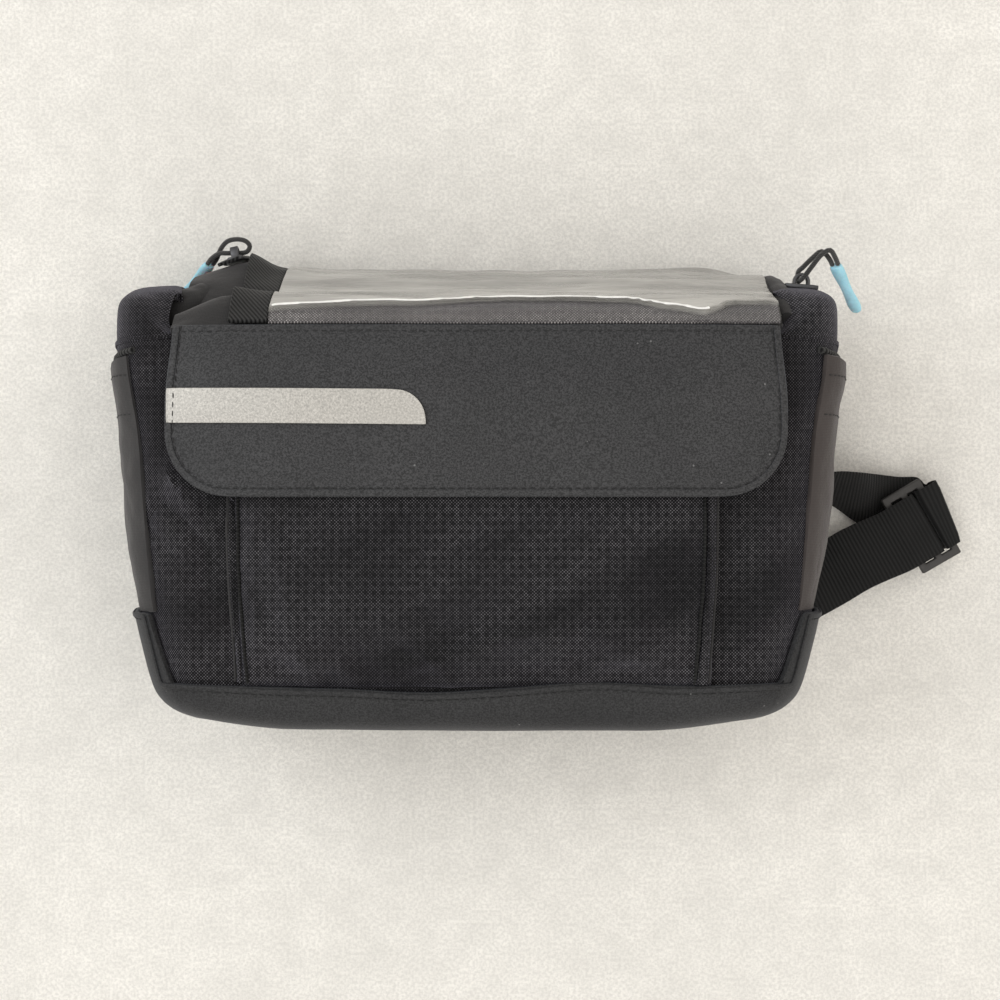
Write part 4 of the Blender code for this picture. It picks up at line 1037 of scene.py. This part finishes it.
def rim_line(inset):
    """(girth, y) places round the tray at an inset below and outside its rim."""
    half = []
    for start, pitch, first, end in RIM_STRETCHES:
        half += [start + pitch * step for step in range(first, end)]
    runs = [-run for run in reversed(half[1:])] + half
    line = [Vector((run, tray_rim(run), 0.0)) for run in runs]
    places = []
    for index, point in enumerate(line):
        along = line[min(index + 1, len(line) - 1)] - line[max(index - 1, 0)]
        place = point + along.cross(Vector((0, 0, 1))).normalized() * inset
        if abs(place.x) < RIM_END and (not places or place.x > places[-1][0] + 0.00005):
            places.append((place.x, place.y))
    return places


class BAG_OT_body(bpy.types.Operator):
    """Padded woven tub with soft dents"""

    bl_idname = "handlebar_bag.body"
    bl_label = "Padded body"

    def execute(self, context):
        tub = free_copy("body_shell", "padded_body")
        refine(tub, 2)
        dents = inward(sizes().wrinkle * 1.2, 26.0, 3.0)

        def shape(place, normal):
            inner = Vector((0.0, 0.0008 * ease(-0.070, -0.077, place.y), 0.0))
            return inner + dents(place, normal) + normal * fold_lift(place, BODY_FOLDS) + settled(place)

        move_points(tub, shape)
        wrap_map(tub)
        finish_piece(tub, "woven", "woven_fabric", "body_shell")
        tree = surface_of(tub)
        for name, side in SIDES:
            shares = spread(0.0, 1.0, 40)
            around = [(side * blend(0.1035, 0.1500, share), 0.0530 - 0.0022 * share) for share in shares]
            seam = band_on(f"shoulder_seam_{name}", wrapped(tree, around), 0.0016, HEM_THICKNESS, steps=2)
            wrap_map(seam)
            finish_piece(seam, "woven", "woven_fabric")
        panel = free_copy("back_panel", "back_cloth")
        refine(panel, 2, rim_crease=1.0)
        flat_map(panel, 0, 1)
        finish_piece(panel, "woven", "woven_fabric", "back_panel")
        return {"FINISHED"}


class BAG_OT_base(bpy.types.Operator):
    """Rubberised base tray with a folded, stitched hem"""

    bl_idname = "handlebar_bag.base"
    bl_label = "Base tray"

    def execute(self, context):
        tray = free_copy("base_tray", "base_cloth")
        refine(tray, 2)
        tree = surface_of(tray)

        def swell(place, normal):
            front = ease(0.070, 0.085, place.z)
            wave = 0.5 + 0.5 * ripple(place, 18.0, 9.0)
            hem = 0.0020 * knot(place.x, 0.042, 0.022) - 0.0015 * knot(place.x, -0.018, 0.024)
            hem = hem * front * ease(-0.080, -0.067, place.y)
            plump = normal * (0.0007 * wave * (0.4 + 0.6 * front))
            total = plump + settled(place) + Vector((0.0, hem, 0.0))
            total.z = max(total.z, -place.z)
            return total

        def seated(line):
            return [(place + swell(place, normal), normal) for place, normal in line]

        move_points(tray, swell)
        wrap_map(tray)
        # The tray and its hem take the rubberised cloth painted darker, as painted shade
        finish_piece(tray, "tray", "rubberised_fabric", "base_tray")
        width = sizes().hem_width * 0.75
        line = seated(wrapped(tree, rim_line(width * 0.55)))
        hem = band_on("base_hem", line, width, HEM_THICKNESS, steps=2, columns=7)
        finish_piece(hem, "tray", "rubberised_fabric")
        seam = seated(wrapped(tree, rim_line(width * 1.30), STITCH_LIFT))
        stitches("base_stitches", [seam])
        return {"FINISHED"}


class BAG_OT_side_pockets(bpy.types.Operator):
    """Smooth side pockets with ribbed binding and two rows of stitches"""

    bl_idname = "handlebar_bag.side_pockets"
    bl_label = "Side pockets"

    def execute(self, context):
        # The right side pocket gets the smooth cloth painted lighter and warmer, as painted light
        for (name, side), kind in zip(SIDES, ("smooth", "lit_smooth")):
            pocket = free_copy(f"side_pocket_{name}", f"side_cloth_{name}")
            refine(pocket, 2)

            def snug(place, normal):
                slim = -side * (0.0012 + 0.0010 * ease(0.044, 0.020, place.y))
                soft = normal * 0.0009 * ripple(place, 34.0, 7.0 + side)
                return soft + settled(place) + Vector((slim, 0.0, 0.0))

            move_points(pocket, snug)
            wrap_map(pocket)
            finish_piece(pocket, kind, "smooth_fabric", f"side_pocket_{name}")
            binding = free_copy(f"pocket_binding_{name}", f"binding_{name}")
            refine(binding, 1)
            wavy = outward(0.0004, 300.0, 2.0)
            closer = Vector((side * 0.0018, 0.0, 0.0))
            move_points(binding, lambda place, normal: wavy(place, normal) - closer)
            flat_map(binding, 2, 1)
            finish_piece(binding, "tape", "black_webbing", f"pocket_binding_{name}")
            tree = surface_of(pocket)
            runs = [side * run for run in spread(0.1200, 0.1700, 30)]
            rows = [wrapped(tree, [(run, height) for run in runs], STITCH_LIFT) for height in SIDE_ROWS]
            stitches(f"side_stitches_{name}", rows)
        return {"FINISHED"}


class BAG_OT_front_pocket(bpy.types.Operator):
    """Woven front pocket that buckles between its seams, with a double seam at each side"""

    bl_idname = "handlebar_bag.front_pocket"
    bl_label = "Front pocket"

    def execute(self, context):
        shape = free_copy("front_pocket", "pocket_shape")
        refine(shape, 1)
        body = bpy.data.objects["padded_body"]
        tree = surface_of(shape, body)
        bpy.data.objects.remove(shape)
        low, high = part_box("front_pocket")
        columns, rows = 84, 48
        vertices, faces, pinned = [], [], []
        for row in range(rows + 1):
            share = row / rows
            y = blend(low.y - 0.0018, high.y, blend(0.004, 0.996, share))
            half = high.x - 0.0040 * (1 - share)
            for column in range(columns + 1):
                place = dropped(tree, [((column / columns * 2 - 1) * half, y)])[0][0]
                if row in (0, rows) or column in (0, 1, columns - 1, columns) or place.y > -0.006:
                    pinned.append(len(vertices))
                vertices.append(place)
        for row in range(rows):
            for column in range(columns):
                corner = row * (columns + 1) + column
                faces.append((corner, corner + 1, corner + columns + 2, corner + columns + 1))
        pocket = mesh_piece("pocket_cloth", vertices, faces)
        buckle(pocket, pinned, growth=0.022, cap=0.0030, seed=4.0, pressure=0.6)
        wall = pocket.modifiers.new("wall", "SOLIDIFY")
        wall.thickness = 0.0012
        wall.offset = -1.0
        finer = pocket.modifiers.new("finer", "SUBSURF")
        finer.levels = finer.render_levels = 1
        apply_modifiers(pocket)

        def folds(place, normal):
            inside = ease(0.0790, 0.0720, abs(place.x)) * ease(low.y, low.y + 0.008, place.y)
            inside *= ease(0.002, -0.012, place.y)
            return Vector((0.0, 0.0, fold_lift(place, POCKET_FOLDS) * inside))

        move_points(pocket, folds)
        wrap_map(pocket)
        finish_piece(pocket, "woven", "woven_fabric", "front_pocket")
        tree = surface_of(pocket, body)
        rows = []
        for name, side in SIDES:
            heights = spread(0.028, low.y + 0.001, 40)
            middle = [(side * blend(0.0780, 0.0806, ease(-0.066, -0.02, y)) - 0.0018, y) for y in heights]
            seam = band_on(f"pocket_seam_{name}", dropped(tree, middle), SEAM_WIDTH, SEAM_THICKNESS, steps=2)
            wrap_map(seam)
            finish_piece(seam, "woven", "woven_fabric")
            # Beside each seam, a lighter band as painted highlight and a dark band as painted shade in the
            # hollow
            for label, kind, aside in SEAM_EDGES:
                beside = dropped(tree, [(x + side * aside, y) for x, y in middle])
                edge_name = f"pocket_{label}_{name}"
                edge = band_on(edge_name, beside, SEAM_EDGE_WIDTH, SEAM_EDGE_THICKNESS, steps=2, columns=5)
                finish_piece(edge, kind, "woven_fabric")
            strip = surface_of(seam)
            for aside in SEAM_ROWS:
                rows.append(dropped(strip, [(x + aside, y) for x, y in middle], STITCH_LIFT))
        stitches("pocket_stitches", rows)
        return {"FINISHED"}


def flap_outline(inset):
    """(x, y) places round the flap's sides and lower edge, moved in from its outline."""
    low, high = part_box("front_flap")
    radius = FLAP_CORNER - inset
    right = [(FLAP_TOP_HALF_WIDTH - inset, high.y - 0.0004)]
    right += [(half - inset, y) for half, y in FLAP_SIDE]
    right += [(high.x - inset, 0.0240)]
    middle_x, middle_y = high.x - FLAP_CORNER, low.y + FLAP_CORNER
    for angle in spread(0.0, math.pi / 2, 12):
        right.append((middle_x + radius * math.cos(angle), middle_y - radius * math.sin(angle)))
    across = [(x, low.y + inset) for x in spread(middle_x, -middle_x, 60)[1:-1]]
    return right + across + [(-x, y) for x, y in reversed(right)]


class BAG_OT_flap(bpy.types.Operator):
    """Rubberised flap with a rolled hem, and the reflective stripe sewn into its left side"""

    bl_idname = "handlebar_bag.flap"
    bl_label = "Flap and stripe"

    def execute(self, context):
        def sag(place, normal):
            """The same slow waves for the flap and the stripe on it."""
            return Vector((0.0, 0.0, 0.0006 * ripple(Vector((place.x, place.y, 0.0)), 14.0, 6.0)))

        def sagged(node, name, kind, slot):
            piece = free_copy(node, name)
            refine(piece, 2)
            move_points(piece, sag)
            flat_map(piece, 0, 1)
            return finish_piece(piece, kind, slot, node)

        flap = sagged("front_flap", "flap_cloth", "rubberised", "rubberised_fabric")
        stripe = sagged("reflective_stripe", "stripe_cloth", "silver", "reflective_silver")
        tree = surface_of(flap)
        rim = dropped(tree, flap_outline(0.0014))
        hem = band_on("flap_hem", rim, sizes().hem_width, HEM_THICKNESS, steps=2, columns=7)
        finish_piece(hem, "rubberised", "rubberised_fabric")
        both = surface_of(flap, stripe)
        top_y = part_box("front_flap")[1].y - 0.0022
        top = [(x, top_y) for x in spread(-0.1005, 0.1005, 80)]
        rows = [dropped(both, places, STITCH_LIFT) for places in (flap_outline(0.0030), top)]
        stitches("flap_stitches", rows)
        return {"FINISHED"}


class BAG_OT_lid(bpy.types.Operator):
    """Smooth padded lid with its woven window backing, clear film and tapes, the left one ribbed and the
    right one in the lid's cloth
    """

    bl_idname = "handlebar_bag.lid"
    bl_label = "Lid and map window"

    def execute(self, context):
        def on_lid(node, name, kind, slot, extra=None):
            piece = free_copy(node, name)
            refine(piece, 2)
            move_points(piece, lambda place, normal: lid_form(place) + (extra(place) if extra else Vector()))
            lid_map(piece, 0.9 if kind == "tape" else 0.0)
            return finish_piece(piece, kind, slot, node)

        def loose(place):
            """The film stands off the backing in one long ridge, with smaller ripples behind it."""
            ridge = knot(place.z, fold_height(place.x), 0.0022)
            behind = ease(0.074, 0.060, place.z) * ease(0.016, 0.028, place.z)
            ripples = 0.5 + 0.5 * ripple(Vector((place.x * 0.5, 0.0, place.z * 2.2)), 40.0, 12.0)
            side = ease(0.105, 0.099, place.x) * ease(-0.074, -0.068, place.x)
            return Vector((0.0, (0.0012 * ridge + 0.0010 * behind * ripples) * side, 0.0))

        lid = on_lid("lid", "lid_cloth", "lid", "smooth_fabric")
        backing = on_lid("window_backing", "window_cloth", "backing", "woven_fabric")
        film = on_lid("map_window", "window_film", "film", "clear_film", loose)
        lay_map(film, lambda place, face: (place.x, place.z - fold_height(place.x)))
        tree = surface_of(film)
        line = []
        for x in spread(*FOLD_ENDS, 120):
            start = Vector((x, RAY_HEIGHT, fold_height(x)))
            hit, normal, face, distance = tree.ray_cast(start, Vector((0, -1, 0)))
            if hit is not None:
                line.append((hit, normal if normal.y > 0 else -normal))
        # A thin pale band along the fold's crest: a painted highlight of light glancing off the film's fold
        fold = band_on("window_fold_highlight", line, 0.0010, 0.0004, steps=2, columns=5)
        finish_piece(fold, "film_fold_highlight", "clear_film")
        on_lid("window_tape_left", "tape_left", "tape", "black_webbing")
        tucked = Vector((0.001, -0.0040, 0.0))
        on_lid("window_tape_right", "tape_right", "lid", "black_webbing", lambda place: tucked)
        for name, stations, seed in (("left", GUSSET_LEFT, 3.0), ("right", GUSSET_RIGHT, 8.0)):
            finish_piece(roll(f"gusset_{name}", stations, seed), "lid", "smooth_fabric")
        return {"FINISHED"}


class BAG_OT_zip(bpy.types.Operator):
    """Zip tapes and the two sliders"""

    bl_idname = "handlebar_bag.zip"
    bl_label = "Zip and sliders"

    def execute(self, context):
        def end_form(place):
            return Vector((0.0, -0.0045 * ease(0.112, 0.124, place.x), 0.0))

        tapes = (("zip_tape", "zip_cloth", lid_form), ("zip_tape_end", "zip_end_cloth", end_form))
        for node, name, form in tapes:
            tape = free_copy(node, name)
            refine(tape, 1)
            move_points(tape, lambda place, normal: form(place))
            lid_map(tape)
            finish_piece(tape, "tape", "black_webbing", node)
        for name in ("zip_slider_left", "zip_slider_right"):
            slider = free_copy(name, name.replace("zip_slider", "slider"))
            bevelled(slider, width=0.00035, segments=2, angle=35)
            finish_piece(slider, "metal", "slider_metal", name, angle=50.0)
        return {"FINISHED"}


class BAG_OT_pulls(bpy.types.Operator):
    """Doubled pull cords through the sliders' eyes, with moulded grips"""

    bl_idname = "handlebar_bag.pulls"
    bl_label = "Cord pulls"

    def execute(self, context):
        for side, route in (("left", LEFT_CORD_ROUTE), ("right", RIGHT_CORD_ROUTE)):
            grip = free_copy(f"pull_grip_{side}", f"grip_{side}")
            refine(grip, 2, rim_angle=70.0, rim_crease=0.3)
            finish_piece(grip, "grip", "light_blue_grip", f"pull_grip_{side}")
            line = smooth_line(route, 3)
            curve = bpy.data.curves.new(f"cord_{side}", "CURVE")
            curve.dimensions = "3D"
            curve.bevel_depth = sizes().cord / 2
            curve.bevel_resolution = 4
            curve.use_fill_caps = True
            spline = curve.splines.new("POLY")
            spline.points.add(len(line) - 1)
            for target, point in zip(spline.points, line):
                target.co = (*point, 1.0)
            cord = bpy.data.objects.new(f"cord_{side}", curve)
            bpy.context.collection.objects.link(cord)
            finish_piece(cord, "cord", "black_cord", f"pull_cord_{side}")
        return {"FINISHED"}


def strap_across(turn, tilt=0.0):
    """The direction of the webbing's width, turned in the plan and tilted, in radians."""
    flat = Vector((-math.sin(turn), math.cos(turn), 0.0))
    return flat * math.cos(tilt) + Vector((0.0, 0.0, math.sin(tilt)))


def strap_stations(sewn_end, strand, thread):
    """(middle, width vector) stations of the webbing, from its sewn end through the tri-glide."""
    low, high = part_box("strap_glide")
    glide = (low + high) / 2
    stations = [sewn_end]
    for out, up, height, width, turn, tilt in strand:
        middle = (glide.x - STRAP_REACH * (1 - out), glide.y + up * STRAP_WIDTH, height * STRAP_WIDTH)
        across = strap_across(math.radians(turn), math.radians(tilt))
        stations.append((middle, across * STRAP_WIDTH * width))
    along = Vector((math.cos(GLIDE_TURN), math.sin(GLIDE_TURN), 0.0))
    for share, layer, turn in thread:
        middle = glide + along * (share * GLIDE_HALF_LENGTH)
        middle.z = LOWEST_PLY + layer * PLY_PITCH
        stations.append((middle, strap_across(GLIDE_TURN + math.radians(turn)) * STRAP_WIDTH))
    return stations


class BAG_OT_strap(bpy.types.Operator):
    """Two strands of ribbed webbing joined by a tri-glide"""

    bl_idname = "handlebar_bag.strap"
    bl_label = "Strap"

    def execute(self, context):
        fixed = strap_stations(FIXED_SEWN_END, FIXED_STRAND, FIXED_THREAD)
        adjust = strap_stations(ADJUST_SEWN_END, ADJUST_STRAND, ADJUST_THREAD)
        for name, stations in (("fixed", fixed), ("adjust", adjust)):
            strand = ribbon(f"webbing_{name}", stations, sizes().strap)
            finish_piece(strand, "webbing", "black_webbing", f"strap_{name}")
        glide = free_copy("strap_glide", "tri_glide")
        bevelled(glide, width=0.0006, segments=3, angle=40)
        finish_piece(glide, "plastic", "black_plastic", "strap_glide")
        return {"FINISHED"}


class BAG_OT_stage(bpy.types.Operator):
    """Pale floor, soft lights and the camera above"""

    bl_idname = "handlebar_bag.stage"
    bl_label = "Stage"

    def execute(self, context):
        bpy.ops.mesh.primitive_plane_add(size=FLOOR_SIZE, location=(0, 0, 0))
        floor = context.active_object
        floor.name = "floor"
        floor.data.materials.append(material("floor"))
        for name, place, size, power, tint in LAMPS:
            lamp = bpy.data.lights.new(name, "AREA")
            lamp.size, lamp.energy, lamp.color = size, power, tint
            light = bpy.data.objects.new(name, lamp)
            light.location = place
            light.rotation_euler = (-Vector(place)).to_track_quat("-Z", "Y").to_euler()
            context.collection.objects.link(light)
        world = bpy.data.worlds.new("studio")
        world.use_nodes = True
        background = world.node_tree.nodes["Background"].inputs
        background["Color"].default_value = WORLD_TINT
        background["Strength"].default_value = WORLD_STRENGTH
        context.scene.world = world
        camera = bpy.data.objects.new("camera", bpy.data.cameras.new("camera"))
        camera.data.lens, camera.data.sensor_width = FOCAL_LENGTH, SENSOR
        camera.data.clip_start = 0.01
        camera.location = CAMERA_PLACE
        context.collection.objects.link(camera)
        context.scene.camera = camera
        context.scene.view_settings.view_transform = "Standard"
        return {"FINISHED"}


OPERATORS = (
    BAG_OT_stage,
    BAG_OT_pulls,
    BAG_OT_body,
    BAG_OT_base,
    BAG_OT_side_pockets,
    BAG_OT_front_pocket,
    BAG_OT_flap,
    BAG_OT_lid,
    BAG_OT_zip,
    BAG_OT_strap,
)


class BAG_PT_pieces(bpy.types.Panel):
    """Sidebar panel with the bag's pieces, sizes and colours"""

    bl_idname = "BAG_PT_pieces"
    bl_label = "Handlebar bag"
    bl_space_type = "VIEW_3D"
    bl_region_type = "UI"
    bl_category = "Bag"

    def draw(self, context):
        for operator in OPERATORS:
            self.layout.operator(operator.bl_idname)
        for group in (context.scene.bag_sizes, context.scene.bag_colours):
            for name in group.bl_rna.properties.keys():
                if name not in ("rna_type", "name"):
                    self.layout.prop(group, name)


CLASSES = (BagSizes, BagColours, *OPERATORS, BAG_PT_pieces)


def register():
    for kind in CLASSES:
        bpy.utils.register_class(kind)
    bpy.types.Scene.bag_sizes = PointerProperty(type=BagSizes)
    bpy.types.Scene.bag_colours = PointerProperty(type=BagColours)


def unregister():
    del bpy.types.Scene.bag_colours
    del bpy.types.Scene.bag_sizes
    for kind in reversed(CLASSES):
        bpy.utils.unregister_class(kind)


def main():
    register()
    bpy.ops.handlebar_bag.stage()
    bpy.ops.handlebar_bag.pulls()
    bpy.ops.handlebar_bag.body()
    bpy.ops.handlebar_bag.base()
    bpy.ops.handlebar_bag.side_pockets()
    bpy.ops.handlebar_bag.front_pocket()
    bpy.ops.handlebar_bag.flap()
    bpy.ops.handlebar_bag.lid()
    bpy.ops.handlebar_bag.zip()
    bpy.ops.handlebar_bag.strap()


if __name__ == "__main__":
    main()
